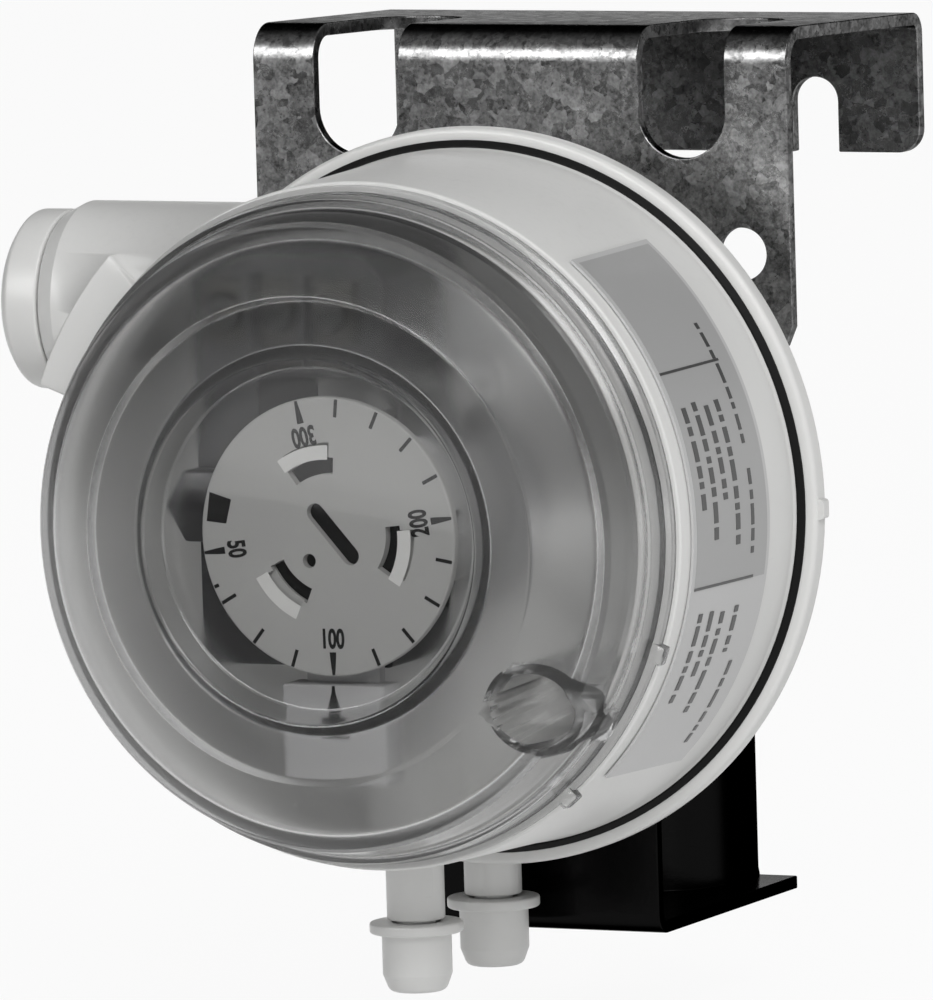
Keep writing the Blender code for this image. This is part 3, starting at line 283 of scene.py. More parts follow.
def dress(obj, mat, body="housing", replaces=()):
    """Gives a piece its finish and the CAD body, slot and nodes that it stands for."""
    obj.data.materials.clear()
    obj.data.materials.append(finish(mat))
    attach(obj, body)
    if replaces:
        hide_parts(*replaces)
    return obj


def repaint(node, mat):
    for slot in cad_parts[node].material_slots:
        slot.material = finish(mat)


# Shaders

def grey(value):
    return (value, value, value, 1.0)


class Net:
    """One shader tree, with short calls for the nodes that the finishes use."""

    def __init__(self, tree):
        self.tree = tree

    def add(self, kind, **settings):
        node = self.tree.nodes.new("ShaderNode" + kind)
        for name, value in settings.items():
            setattr(node, name, value)
        return node

    def join(self, value, socket):
        """Links a socket to another one, or sets it to a plain value."""
        if isinstance(value, bpy.types.NodeSocket):
            self.tree.links.new(value, socket)
        else:
            socket.default_value = value

    def feed(self, node, **values):
        """Joins values to the inputs of a node by name, with _ for a space."""
        for label, value in values.items():
            self.join(value, node.inputs[label.replace("_", " ")])
        return node.outputs

    def line_up(self, node, *values):
        """Joins values to the first inputs of a node, in order."""
        for socket, value in zip(node.inputs, values):
            self.join(value, socket)
        return node.outputs

    def maths(self, operation, first, second=0.5, third=0.5, clamp=False):
        node = self.add("Math", operation=operation, use_clamp=clamp)
        return self.line_up(node, first, second, third)["Value"]

    def vectors(self, operation, *values):
        return self.line_up(self.add("VectorMath", operation=operation), *values)

    def mix(self, factor, first, second):
        """Plain mix of two values, each a socket or a number."""
        node = self.add("Mix")
        for index, value in ((0, factor), (2, first), (3, second)):
            self.join(value, node.inputs[index])
        return node.outputs[0]

    def colour(self, factor, first, second, blend="MIX"):
        """Mix of two colours, each a socket, a colour or a plain grey."""
        first, second = (grey(tone) if isinstance(tone, float) else tone for tone in (first, second))
        node = self.add("Mix", data_type="RGBA", blend_type=blend)
        return self.feed(node, Factor=factor, A=first, B=second)["Result"]

    def blend(self, factor, first, second):
        """Mix of two shaders."""
        return self.line_up(self.add("MixShader"), factor, first, second)[0]

    def ramp(self, value, low, high):
        """0 to 1, with soft ends, as a value goes from low to high."""
        node = self.add("MapRange", interpolation_type="SMOOTHSTEP")
        return self.feed(node, Value=value, From_Min=low, From_Max=high)["Result"]

    def noise(self, vector, scale, detail=4.0, roughness=0.5):
        node = self.add("TexNoise")
        return self.feed(node, Vector=vector, Scale=scale, Detail=detail, Roughness=roughness)["Fac"]

    def split(self, value, kind="XYZ"):
        return self.line_up(self.add("Separate" + kind), value)

    def place(self):
        return self.add("TexCoord").outputs["Object"]

    def normal_z(self):
        return self.split(self.add("NewGeometry").outputs["Normal"])["Z"]

    def group(self, name, **values):
        return self.feed(self.add("Group", node_tree=bpy.data.node_groups[name]), **values)

    def bump(self, shader, height, strength, distance):
        relief = self.feed(self.add("Bump"), Strength=strength, Distance=distance, Height=height)
        self.feed(shader, Normal=relief["Normal"])


def new_group(name, inputs, outputs):
    """Shader group with named sockets, as (kind, name, default) and (kind, name)."""
    group = bpy.data.node_groups.new(name, "ShaderNodeTree")
    for kind, label, default in inputs:
        socket = group.interface.new_socket(name=label, in_out="INPUT", socket_type="NodeSocket" + kind)
        socket.default_value = default
    for kind, label in outputs:
        group.interface.new_socket(name=label, in_out="OUTPUT", socket_type="NodeSocket" + kind)
    return Net(group), group.nodes.new("NodeGroupInput").outputs, group.nodes.new("NodeGroupOutput")


def moulded_group():
    """Moulded skin: fine grain, slight flow tone and a little grey in the low spots."""
    net, source, sink = new_group("moulded_skin", [
        ("Color", "Colour", grey(0.7)), ("Float", "Tone", 0.05), ("Float", "Grain Scale", 2600.0),
        ("Float", "Roughness", 0.4)], [("Color", "Colour"), ("Float", "Roughness"), ("Float", "Height")])
    place = net.place()
    flow = net.noise(place, 38.0, 3.0)
    grain = net.noise(place, source["Grain Scale"], 2.0)
    amount = net.maths("MULTIPLY", net.maths("MULTIPLY_ADD", flow, 1.6, -0.3, clamp=True), source["Tone"])
    dark = net.colour(1.0, source["Colour"], SHADE_TONE, "MULTIPLY")
    rough = net.maths("ADD", source["Roughness"], net.maths("MULTIPLY_ADD", grain, 0.14, -0.07))
    net.feed(sink, Colour=net.colour(amount, source["Colour"], dark), Roughness=rough, Height=grain)


def dust_group():
    """Fine dust and scuffs. The dust grows on faces that look up."""
    net, source, sink = new_group("dust_and_scuffs", [
        ("Float", "Amount", 0.15), ("Float", "Scale", 900.0)], [("Float", "Dust"), ("Float", "Scuffs")])
    place = net.place()
    up = net.maths("MULTIPLY_ADD", net.ramp(net.normal_z(), 0.1, 1.0), 0.8, 0.2)
    specks = net.ramp(net.noise(place, source["Scale"], 5.0, 0.7), 0.48, 0.72)
    stretch = net.feed(net.add("Mapping"), Vector=place, Scale=(260.0, 260.0, 2400.0),
                       Rotation=(0.5, 0.7, 0.2))
    lines = net.ramp(net.noise(stretch[0], 1.0, 2.0), 0.72, 0.80)
    net.feed(sink, Dust=net.maths("MULTIPLY", net.maths("MULTIPLY", up, specks), source["Amount"]),
             Scuffs=net.maths("MULTIPLY", lines, source["Amount"]))


def spangle_group():
    """Mottled zinc coat: small crystals, blots and a fine grain."""
    net, source, sink = new_group("zinc_spangle", [
        ("Color", "Bright", grey(0.42)), ("Color", "Dull", grey(0.17)), ("Float", "Scale", 900.0)],
        [("Color", "Colour"), ("Float", "Roughness"), ("Float", "Height")])
    place = net.place()
    wobble = net.feed(net.add("TexNoise"), Scale=700.0, Vector=place)["Color"]
    shifted = net.vectors("MULTIPLY_ADD", wobble, (0.0012, 0.0012, 0.0012), place)[0]
    cells = net.feed(net.add("TexVoronoi"), Vector=shifted, Scale=source["Scale"])
    tone = net.split(cells["Color"], "Color")
    grain = net.noise(place, 1700.0, 4.0, 0.7)
    cloud = net.noise(place, 110.0, 4.0, 0.6)
    blots = net.maths("MULTIPLY_ADD", grain, 1.7, net.maths("MULTIPLY_ADD", cloud, 0.5, -0.85))
    mixed = net.maths("MULTIPLY_ADD", tone["Red"], 0.45, blots, clamp=True)
    rough = net.maths("MULTIPLY_ADD", tone["Green"], 0.08, 0.19)
    net.feed(sink, Colour=net.colour(mixed, source["Dull"], source["Bright"]),
             Roughness=net.maths("MULTIPLY_ADD", grain, 0.10, rough),
             Height=net.maths("ADD", grain, net.maths("MULTIPLY", tone["Blue"], 0.4)))


# Finishes

def finish_base(name, metallic=0.0, roughness=0.5, coat=0.0, ior=1.46):
    """Principled shader and net of a new material."""
    mat = bpy.data.materials.new(name)
    if mat.name != name:
        raise ValueError("the finish %s exists already" % name)
    mat.use_nodes = True
    shader, net = mat.node_tree.nodes["Principled BSDF"], Net(mat.node_tree)
    net.feed(shader, Metallic=metallic, Roughness=roughness, Coat_Weight=coat, IOR=ior)
    return shader, net


def moulded_plastic(name, colour, roughness=0.4, tone=0.10, dust=0.12, grain=2600.0):
    shader, net = finish_base(name, roughness=roughness)
    skin = net.group("moulded_skin", Colour=(*colour, 1.0), Tone=tone, Roughness=roughness,
                     Grain_Scale=grain)
    specks = net.group("dust_and_scuffs", Amount=dust)
    dusty = net.colour(specks["Dust"], skin["Colour"], DUST_TONE)
    worn = net.colour(specks["Scuffs"], dusty, SCUFF_TONE)
    net.feed(shader, Base_Color=worn, Roughness=skin["Roughness"])
    net.bump(shader, skin["Height"], 0.10, 0.00006)


def ink_and_painted_shade(name, tone=0.012):
    """Printed mark: thin ink with slightly uneven cover. The same near-black finish also blackens the
    seam and paints shade into the dial's slot, hole and window floors.
    """
    shader, net = finish_base(name, roughness=0.55)
    cover = net.ramp(net.noise(net.place(), 3200.0, 4.0, 0.7), 0.55, 0.8)
    net.feed(shader, Specular_IOR_Level=0.15, Base_Color=net.colour(cover, tone, tone * 3.0))


def plated_steel(name, colour, roughness, scratch=0.2):
    """Bright plated steel with fine turning marks."""
    shader, net = finish_base(name, metallic=1.0, roughness=roughness)
    skin = net.group("moulded_skin", Colour=(*colour, 1.0), Tone=0.4, Roughness=roughness,
                     Grain_Scale=1800.0)
    scuffs = net.group("dust_and_scuffs", Amount=scratch)["Scuffs"]
    net.feed(shader, Base_Color=net.colour(scuffs, skin["Colour"], 0.85), Roughness=skin["Roughness"])
    net.bump(shader, scuffs, 0.2, 0.00002)


def zinc_sheet(name, bright, dull, painted_shade_below):
    """Galvanised sheet with painted dark reflection on faces that look up, for the dark room that they
    mirror. Below a height given in metres it is painted black as painted shade, for the foot and tab in
    shade under the housing.
    """
    shader, net = finish_base(name, metallic=1.0, roughness=0.35)
    coat = net.group("zinc_spangle", Bright=(*bright, 1.0), Dull=(*dull, 1.0))
    scuffs = net.group("dust_and_scuffs", Amount=0.12)["Scuffs"]
    # Painted shade: below the given height the sheet turns black and glossier, for the foot and tab in
    # shade under the housing.
    low = net.ramp(net.split(net.place())["Z"], painted_shade_below - 0.004, painted_shade_below + 0.010)
    # Painted dark reflection: faces that look up are darkened nearly to black, standing in for the dark
    # room that they mirror.
    overlay = net.maths("MULTIPLY", net.ramp(net.normal_z(), 0.55, 0.85), 0.96)
    painted_dark_top = net.colour(overlay, net.colour(scuffs, coat["Colour"], 0.6), 0.008)
    net.feed(shader, Specular_Tint=grey(0.30), Base_Color=net.colour(low, 0.006, painted_dark_top),
             Roughness=net.mix(low, 0.20, coat["Roughness"]))
    net.bump(shader, coat["Height"], 0.14, 0.00008)


def clear_moulding(name, colour, window, outer, window_r):
    """Clear moulded plastic, softer outside the window over the dial. Light reaches what is inside it."""
    shader, net = finish_base(name, roughness=window, ior=1.50)
    skin = net.group("moulded_skin", Colour=(*colour, 1.0), Tone=0.05, Roughness=window,
                     Grain_Scale=700.0)
    flat = net.vectors("MULTIPLY", net.place(), (1.0, 0.0, 1.0))[0]
    reach = net.vectors("DISTANCE", flat, (0.0, 0.0, HOME.z * MM))["Value"]
    base = net.maths("MULTIPLY_ADD", net.ramp(reach, window_r, window_r + 0.0025), outer - window, window)
    scuffs = net.group("dust_and_scuffs", Amount=0.10)["Scuffs"]
    net.feed(shader, Transmission_Weight=1.0, Base_Color=skin["Colour"],
             Roughness=net.maths("MULTIPLY_ADD", scuffs, 0.3, base))
    shadow = net.feed(net.add("BsdfTransparent"), Color=grey(0.93))
    path = net.add("LightPath").outputs
    through = net.maths("MAXIMUM", path["Is Shadow Ray"], path["Is Diffuse Ray"])
    smoke = net.feed(net.add("VolumeAbsorption"), Color=grey(0.0), Density=75.0)
    net.feed(net.tree.nodes["Material Output"], Volume=smoke["Volume"],
             Surface=net.blend(through, shader.outputs["BSDF"], shadow["BSDF"]))


def label_film(name, colour, roughness=0.45):
    shader, net = finish_base(name, roughness=roughness, coat=0.2)
    skin = net.group("moulded_skin", Colour=(*colour, 1.0), Tone=0.12, Roughness=roughness,
                     Grain_Scale=4200.0)
    net.feed(shader, Base_Color=skin["Colour"], Roughness=skin["Roughness"])
    net.bump(shader, skin["Height"], 0.05, 0.00003)


def build_finishes():
    tones = bpy.context.scene.switch_colours
    moulded_group()
    dust_group()
    spangle_group()
    moulded_plastic("housing_plastic", tones.housing, 0.36)
    moulded_plastic("inner_plastic", tones.inner, 0.45, dust=0.05)
    moulded_plastic("dial_plastic", tones.dial, 0.50, tone=0.05, dust=0.04)
    pale = tuple(min(1.0, c * 1.7) for c in tones.dial)
    moulded_plastic("ledge_plastic", pale, 0.5, tone=0.04, dust=0.0)
    moulded_plastic("black_moulding", (0.016, 0.016, 0.017), 0.38, tone=0.3, dust=0.10, grain=1900.0)
    moulded_plastic("seal_rubber", (0.03, 0.03, 0.03), 0.8, tone=0.4, dust=0.2)
    moulded_plastic("diaphragm_silicone", (0.40, 0.36, 0.33), 0.6, tone=0.3)
    clear_moulding("clear_cover", tones.cover, 0.02, 0.20, 0.0164)
    label_film("label_pale", tones.label)
    label_film("label_field", tuple(c * 0.72 for c in tones.label))
    label_film("label_line", (0.05, 0.05, 0.05))
    ink_and_painted_shade("dial_ink")
    # Near-black, for the seam and for painted shade in the dial's slot, hole and window floors.
    ink_and_painted_shade("dark_floor", 0.004)
    # Below -0.066 m the bracket is painted black: painted shade on its foot and tab.
    zinc_sheet("galvanised_sheet", tones.zinc_bright, tones.zinc_dull, -0.066)
    plated_steel("bright_plating", (0.62, 0.62, 0.62), 0.22)
    plated_steel("spring_steel", (0.40, 0.40, 0.40), 0.30)
    plated_steel("tinned_brass", (0.05, 0.048, 0.044), 0.45, 0.05)
    plated_steel("dark_plating", (0.04, 0.04, 0.04), 0.45, 0.05)


def finish(name):
    if not bpy.data.materials.get("housing_plastic"):
        build_finishes()
    return bpy.data.materials[name]


# Housing

def port_profile(root):
    return rounded([(0.0, 52.0), (2.0, 52.0, 0.1), (2.5, 50.8, 0.15), (2.2, 50.4), (2.2, 46.4),
                    (3.3, 46.4, 0.25), (3.3, root), (0.0, root)])


def build_rear_housing(steps):
    profile = rounded([
        (0.0, -11.3), (34.5, -11.3, 0.8), (34.5, -4.2), (38.0, -4.2), (38.0, -2.6), (40.2, -2.6),
        (40.2, -0.7), (40.45, 0.0, 0.15), (42.0, 0.0, 0.6), (42.0, -2.3, 0.6), (39.6, -5.0, 0.6),
        (38.0, -5.6, 0.5), (36.0, -12.3), (35.3, -13.3, 0.9), (0.0, -13.3)])
    body = lathe("rear_housing_skin", profile, steps)
    port = lathe("rear_port", port_profile(35.5), 48, PORTS["rear"])
    nub = rounded([(41.4, -1.9), (42.7, -1.5, 0.4), (42.7, 0.5, 0.4), (41.4, 0.9)])
    weld(body, port, slab("flange_nub", nub, -1.7, -0.3))
    bore = rod("bore", 1.4, 53.0, 32.5, 32, PORTS["rear"])
    holes = [rod("boss_hole", 2.0, -9.0, -14.0, 32, stand(FORWARD, z=z)) for z in (SCREW_Z, -SCREW_Z)]
    return cut(body, bore, *holes)


def build_front_housing(steps):
    profile = rounded([
        (1.6, 9.5, 0.2), (3.5, 9.5, 0.3), (3.5, 5.5, 0.3), (37.0, 5.5, 1.2), (36.5, 27.3, 0.5),
        (34.0, 27.3, 0.3), (34.0, 32.5, 0.2), (35.4, 32.5, 0.2), (35.4, 29.3), (38.6, 29.3, 0.3),
        (39.6, 1.2, 0.3), (39.8, 0.5, 0.1), (39.8, -2.2, 0.2), (34.5, -2.2), (34.5, 3.5), (1.6, 3.5)])
    body = lathe("front_housing_skin", profile, steps, closed=True)
    boss = lathe("gland_boss", rounded([(0.0, 44.6), (8.3, 44.6, 0.3), (8.3, 41.0), (10.1, 41.0, 0.3),
                                        (11.2, 38.8, 0.5), (11.2, 16.0), (0.0, 16.0)]), 96, GLAND)
    cut(boss, rod("hollow", 37.6, 45.0, 6.5, steps + 3))
    pad = bake(soften(slab("gland_pad", sector(37.6, 43.165, 136.0, 159.5, 24), 6.0, 29.0), 0.3, 3))
    port = lathe("front_port", port_profile(37.5), 48, PORTS["front"])
    duct = box("duct", (-6.6, 0.6), (4.0, 16.6), (-37.5, -28.0))
    well_post = rod("well_post", 4.2, 22.0, 4.0, 48, WELL)
    switch_post = rod("switch_post", 2.6, 15.2, 4.0, 40, SWITCH_FIXING)
    rest = rod("switch_rest", 2.4, 15.2, 4.0, 40, stand(FORWARD, z=25.0))
    weld(body, boss, pad, port, duct, well_post, switch_post, rest)
    bore = rod("gland_bore", 7.0, 46.0, 14.0, 64, GLAND)
    hose = rod("port_bore", 1.4, 53.0, 29.6, 32, PORTS["front"])
    well = lathe("well_room", [(0.0, 40.0), (6.3, 40.0), (4.7, 25.0), (4.7, 19.9), (0.0, 19.9)], 64, WELL)
    cut(body, bore, hose, well)
    for sign in (1, -1):
        lug = box("lever_lug", tuple(sorted((sign * 4.0, sign * 6.2))), (4.5, 14.2), (11.6, 16.4))
        body = gather("front_housing_skin", [body, lug])
    return body


# Cover

def build_cover(steps):
    cone = [[(a + (c - a) * k / 7, b + (d - b) * k / 7) for k in range(1, 7)]
            for a, b, c, d in ((27.2, 44.1, 34.6, 40.75), (32.9, 39.4, 26.6, 42.3))]
    profile = rounded([
        (0.0, 41.4), (19.1, 41.4, 0.5), (20.3, 43.9, 0.6), (27.2, 44.1, 0.5), *cone[0],
        (34.6, 40.75, 0.5), (35.1, 40.0, 0.4), (36.2, 35.3, 0.4), (37.05, 34.7, 0.3), (37.6, 31.3, 0.3),
        (38.2, 30.9, 0.2), (38.2, 29.6, 0.1), (37.0, 29.6), (37.0, 30.9), (35.7, 30.9),
        (35.7, 32.8, 0.2), (34.3, 34.6, 0.5), (32.9, 39.4, 0.9), *cone[1], (26.6, 42.3, 0.8),
        (21.8, 42.1, 0.5), (20.3, 39.6, 0.4), (0.0, 39.6)], 5)
    cover = lathe("cover_shell", profile, steps, angle=COVER_CREASE)
    lean, tilt, shift = Matrix.Identity(4), 0.045, 1.0
    lean[0][2], lean[1][2], lean[0][3], lean[1][3] = tilt, -tilt, -shift, shift
    leaning = WELL @ lean
    outside = [(0.0, 44.1), (5.5, 44.1), (4.5, 25.0), (4.4, 20.2), (0.0, 20.2)]
    sleeve = lathe("well_sleeve", outside, 64, leaning)
    slope = 3.5 / 7.9
    above = [(0.0, 55.0), (45.0, 55.0), (45.0, 43.2 - slope * 17.8), (27.2, 43.2), (0.0, 43.2)]
    cut(sleeve, lathe("over_cover", above, steps + 3))
    weld(cover, sleeve, angle=COVER_CREASE)
    inside = rounded([(0.0, 46.1), (4.45, 46.1), (4.35, 40.6), (3.4, 25.0), (3.4, 22.0), (0.0, 22.0)])
    hollow = lathe("well_hollow", inside, 60, leaning)
    cut(cover, hollow, rod("well_hole", 1.8, 23.0, 19.0, 32, WELL), angle=COVER_CREASE)
    for sign in (1, -1):
        angle = math.radians(-35.0 + sign * 15.0)
        place = stand(Matrix.Rotation(-angle, 4, "Y") @ FORWARD)
        lug = box("cover_lug", (37.6, 39.2), (29.6, 31.4), (-1.1, 1.1), place)
        weld(cover, bake(soften(lug, 0.25)), angle=COVER_CREASE)
    return cover


# Label on the side wall

def wall_radius(h):
    """Radius of the tapered side wall."""
    return 39.6 - (39.6 - 38.6) * (h - 1.0) / 28.3


def wall_patch(name, start, end, low, high, lift, count, thick=0.04):
    """Thin curved patch on the side wall between two angles and two heights."""
    bm = bmesh.new()
    layers = []
    for shift in (lift, lift + thick):
        grid = []
        for a in np.linspace(math.radians(start), math.radians(end), count):
            row = []
            for h in (low, high):
                r = wall_radius(h) + shift
                row.append(bm.verts.new((r * math.cos(a), r * math.sin(a), h)))
            grid.append(row)
        layers.append(grid)
    inner, outer = layers
    for i in range(count - 1):
        bm.faces.new((outer[i][0], outer[i + 1][0], outer[i + 1][1], outer[i][1]))
        bm.faces.new((inner[i][0], inner[i][1], inner[i + 1][1], inner[i + 1][0]))
        for k in (0, 1):
            bm.faces.new((inner[i][k], inner[i + 1][k], outer[i + 1][k], outer[i][k]))
    for i in (0, count - 1):
        bm.faces.new((inner[i][0], inner[i][1], outer[i][1], outer[i][0]))
    bm.transform(stand(FORWARD))
    return mesh_from(name, bm)


def label_marks():
    """Dividers and rows of plain bars where a label has its print."""
    lift = 0.46
    lines = [wall_patch("divider", a, a + 0.45, 11.6, 26.2, lift, 3) for a in (26.0, -9.8)]
    # height, first angle, last angle and size of each row
    rows = ((23.6, 20.0, 3.0, 0.5), (20.9, 20.5, -2.5, 0.5), (18.2, 19.5, 4.0, 0.5),
            (15.5, 20.0, -4.0, 0.5), (12.0, 33.0, 12.0, 0.35), (12.0, 8.0, -6.0, 0.35),
            (23.0, -14.0, -30.0, 0.45), (20.2, -14.0, -26.0, 0.45), (17.4, -14.5, -33.0, 0.45),
            (14.0, -14.0, -22.0, 0.45), (11.4, -24.0, -40.0, 0.35))
    for k, (h, start, end, size) in enumerate(rows):
        here, step = start, 0
        while here > end:
            run = (2.6, 1.5, 3.4, 2.0, 1.1)[(step + k) % 5]
            stop = max(here - run, end)
            if here - stop > 0.5:
                lines.append(wall_patch("bar", stop, here, h, h + size * 2.1, lift, 4))
            here -= run + (0.6, 0.9, 0.7)[(step + 2 * k) % 3]
            step += 1
    return lines


# Dial and what is under the cover

def build_dial():
    disc = lathe("dial_disc", rounded([
        (0.0, DIAL_FACE), (15.6, DIAL_FACE, 0.25), (15.6, 36.9, 0.15), (3.8, 36.9), (3.8, 35.5),
        (2.4, 35.5), (2.4, 20.4), (2.0, 20.0), (0.0, 20.0)]), 120)
    tools = []
    for m in WINDOWS:
        tools.append(slab("ledge", sector(8.1, 10.2, m - 17, m + 17), 37.4, 40.0, WINDOW_PLACE))
        tools.append(slab("window", sector(6.7, 8.5, m - 20.5, m + 20.5), 36.0, 40.1, WINDOW_PLACE))
    tools.append(slab("driver", obround(6.3, 2.1, *DRIVER), 37.0, 40.2))
    tools.append(rod("hole", 0.8, 40.3, 36.9, 32, DIAL_HOLE))
    return cut(disc, *tools)


def dial_shadows():
    """Painted shade: black floors in the driver slot, the small hole and the three windows, where the
    deep gaps lie in shade.
    """
    floors = [slab("floor", sector(6.5, 8.7, m - 21.0, m + 21.0), 36.6, 36.85, WINDOW_PLACE)
              for m in WINDOWS]
    floors.append(slab("floor", obround(6.4, 2.3, *DRIVER), 36.6, 37.1))
    floors.append(rod("floor", 0.9, 37.05, 36.7, 24, DIAL_HOLE))
    return floors


def dial_marks(height):
    """Ticks, plain numbers and the square mark, a hair above the dial's face."""
    marks = []

    def mark(angle, outline, name="tick"):
        turn = Matrix.Rotation(math.radians(angle), 4, "Z")
        marks.append(slab(name, outline, DIAL_FACE, DIAL_FACE + height, stand(FORWARD) @ turn))
    for angle in (103.0, 9.0, 271.0, 188.0):
        mark(angle, [(12.9, -0.40), (13.6, -0.36), (15.45, -0.16), (15.45, 0.16), (13.6, 0.36),
                     (12.9, 0.40)])
    for angle in (84.4, 65.2, 46.6, 27.6, 350.6, 331.3, 311.6, 292.6, 251.8, 231.8, 210.2):
        mark(angle, [(13.4, -0.2), (15.4, -0.2), (15.4, 0.2), (13.4, 0.2)])
    mark(202.7, [(14.8, -0.2), (15.4, -0.2), (15.4, 0.2), (14.8, 0.2)])
    mark(168.6, [(12.35, -1.5), (15.1, -1.75), (14.9, 1.55), (12.5, 1.3)], "square")
    for angle, number in ((103.0, "300"), (9.0, "200"), (271.0, "100"), (188.0, "50")):
        font = bpy.data.curves.new("number", "FONT")
        font.body = number
        font.align_x = font.align_y = "CENTER"
        font.size = 3.0
        font.offset = 0.10
        font.extrude = height / 2
        text = new_object("number", font)
        bpy.context.view_layer.update()
        mesh = bpy.data.meshes.new_from_object(text.evaluated_get(bpy.context.evaluated_depsgraph_get()))
        bpy.data.objects.remove(text, do_unlink=True)
        spin = Matrix.Rotation(math.radians(angle + 90.0), 4, "Z")
        out = Matrix.Translation((0.0, -11.5, DIAL_FACE + height / 2))
        mesh.transform(stand(FORWARD) @ spin @ out @ Matrix.Diagonal((0.66, 1.0, 1.0, 1.0)))
        marks.append(new_object("number", mesh))
    return marks


def build_dial_frame():
    tower = lathe("dial_tower", rounded([
        (2.7, 35.2), (10.9, 35.2, 0.2), (10.9, 33.8, 0.2), (8.7, 33.0), (8.7, 7.4, 0.3),
        (11.8, 7.2, 0.2), (11.8, 5.8), (7.1, 5.8), (7.1, 33.6), (2.7, 33.6)]), 96, closed=True)
    arm = box("arm", (-4.5, 4.5), (33.8, 35.1), (-17.6, -8.7))
    plate = rounded([(-6.3, -27.5, 0.6), (6.3, -27.5, 0.6), (6.3, -16.6, 0.3), (-6.3, -16.6, 0.3)])
    weld(tower, arm, bake(soften(slab("head", plate, 33.6, HEAD_FACE), 0.25)))
    lever_slot = box("lever_slot", (-4.1, 4.1), (4.8, 14.7), (-16.0, 16.0))
    key_slot = box("key_slot", (-9.7, 9.7), (20.6, 31.4), (-1.4, 1.4))
    return cut(tower, lever_slot, key_slot)


def build_snap_switch():
    outline = rounded([(-19.5, 30.5, 0.5), (-19.5, -14.0, 0.8), (-18.0, -15.5, 0.8), (4.0, -15.5, 0.5),
                       (4.0, -10.5, 0.4), (-11.7, -10.5, 0.8), (-11.7, 17.0, 0.8), (4.0, 17.0, 0.4),
                       (4.0, 27.5, 0.6), (1.0, 30.5, 0.6)])
    body = slab("switch_body", outline, 15.5, 30.7)
    combine(body, "INTERSECT", rod("round", 33.4, 33.0, 13.0, 97))
    tools = [rod("fixing", 1.5, 32.0, 15.0, 32, SWITCH_FIXING),
             rod("pocket", 1.8, 24.3, 15.0, 32, stand(FORWARD, z=-13.0))]
    tools += [rod("screw_hole", 1.5, 32.0, 24.2, 32, stand(FORWARD, x, z=TERMINAL_Z)) for x in TERMINALS]
    cut(body, *tools)
    ribs = [box("rib", (x + 2.85, x + 3.65), (30.2, 33.7), (19.8, 28.2)) for x in TERMINALS[:2]]
    weld(body, *ribs)
    return soften(body, 0.2)


def build_terminal(x):
    outline = rounded([(x - 2.5, 20.5, 0.3), (x + 2.5, 20.5, 0.3), (x + 2.5, 27.5, 0.3),
                       (x - 2.5, 27.5, 0.3)])
    clamp = slab("clamp", outline, 31.0, 32.2)
    cut(clamp, rod("eye", 1.5, 33.0, 30.5, 32, stand(FORWARD, x, z=TERMINAL_Z)))
    return soften(clamp, 0.12)


def slotted_screw(name, seat, head, head_r, shank_r, end, place, slot):
    """Round-head screw along its own Z with a slot across its head."""
    top = seat + head
    screw = lathe(name, rounded([(0.0, top), (head_r, top, head * 0.45), (head_r, seat, 0.08),
                                 (shank_r, seat), (shank_r, end + 0.5), (shank_r - 0.4, end),
                                 (0.0, end)]), 48, place)
    half = head_r + 0.5
    groove = slab("groove", [(-half, -slot / 2), (half, -slot / 2), (half, slot / 2), (-half, slot / 2)],
                  top - head * 0.45, top + 1.0, place @ Matrix.Rotation(0.6, 4, "Z"))
    return cut(screw, groove)


# Gland, caps and bracket

def build_gland_nut():
    return lathe("gland_nut_skin", rounded([
        (4.6, 46.3, 0.25), (8.8, 46.3, 1.2), (10.2, 45.2, 0.9), (10.2, 41.3, 0.3), (8.6, 41.3),
        (8.6, 44.9), (4.6, 44.9)]),
        96, GLAND, closed=True)


def build_cap(side):
    return lathe("cap_%s_skin" % side, rounded([
        (0.0, 54.6), (3.2, 54.6, 0.9), (3.95, 52.6, 0.6), (3.95, 47.9, 0.2), (5.3, 47.9, 0.25),
        (5.3, 46.7, 0.25), (2.8, 46.7), (2.8, 52.3),
        (0.0, 52.3)]), 72, PORTS[side])


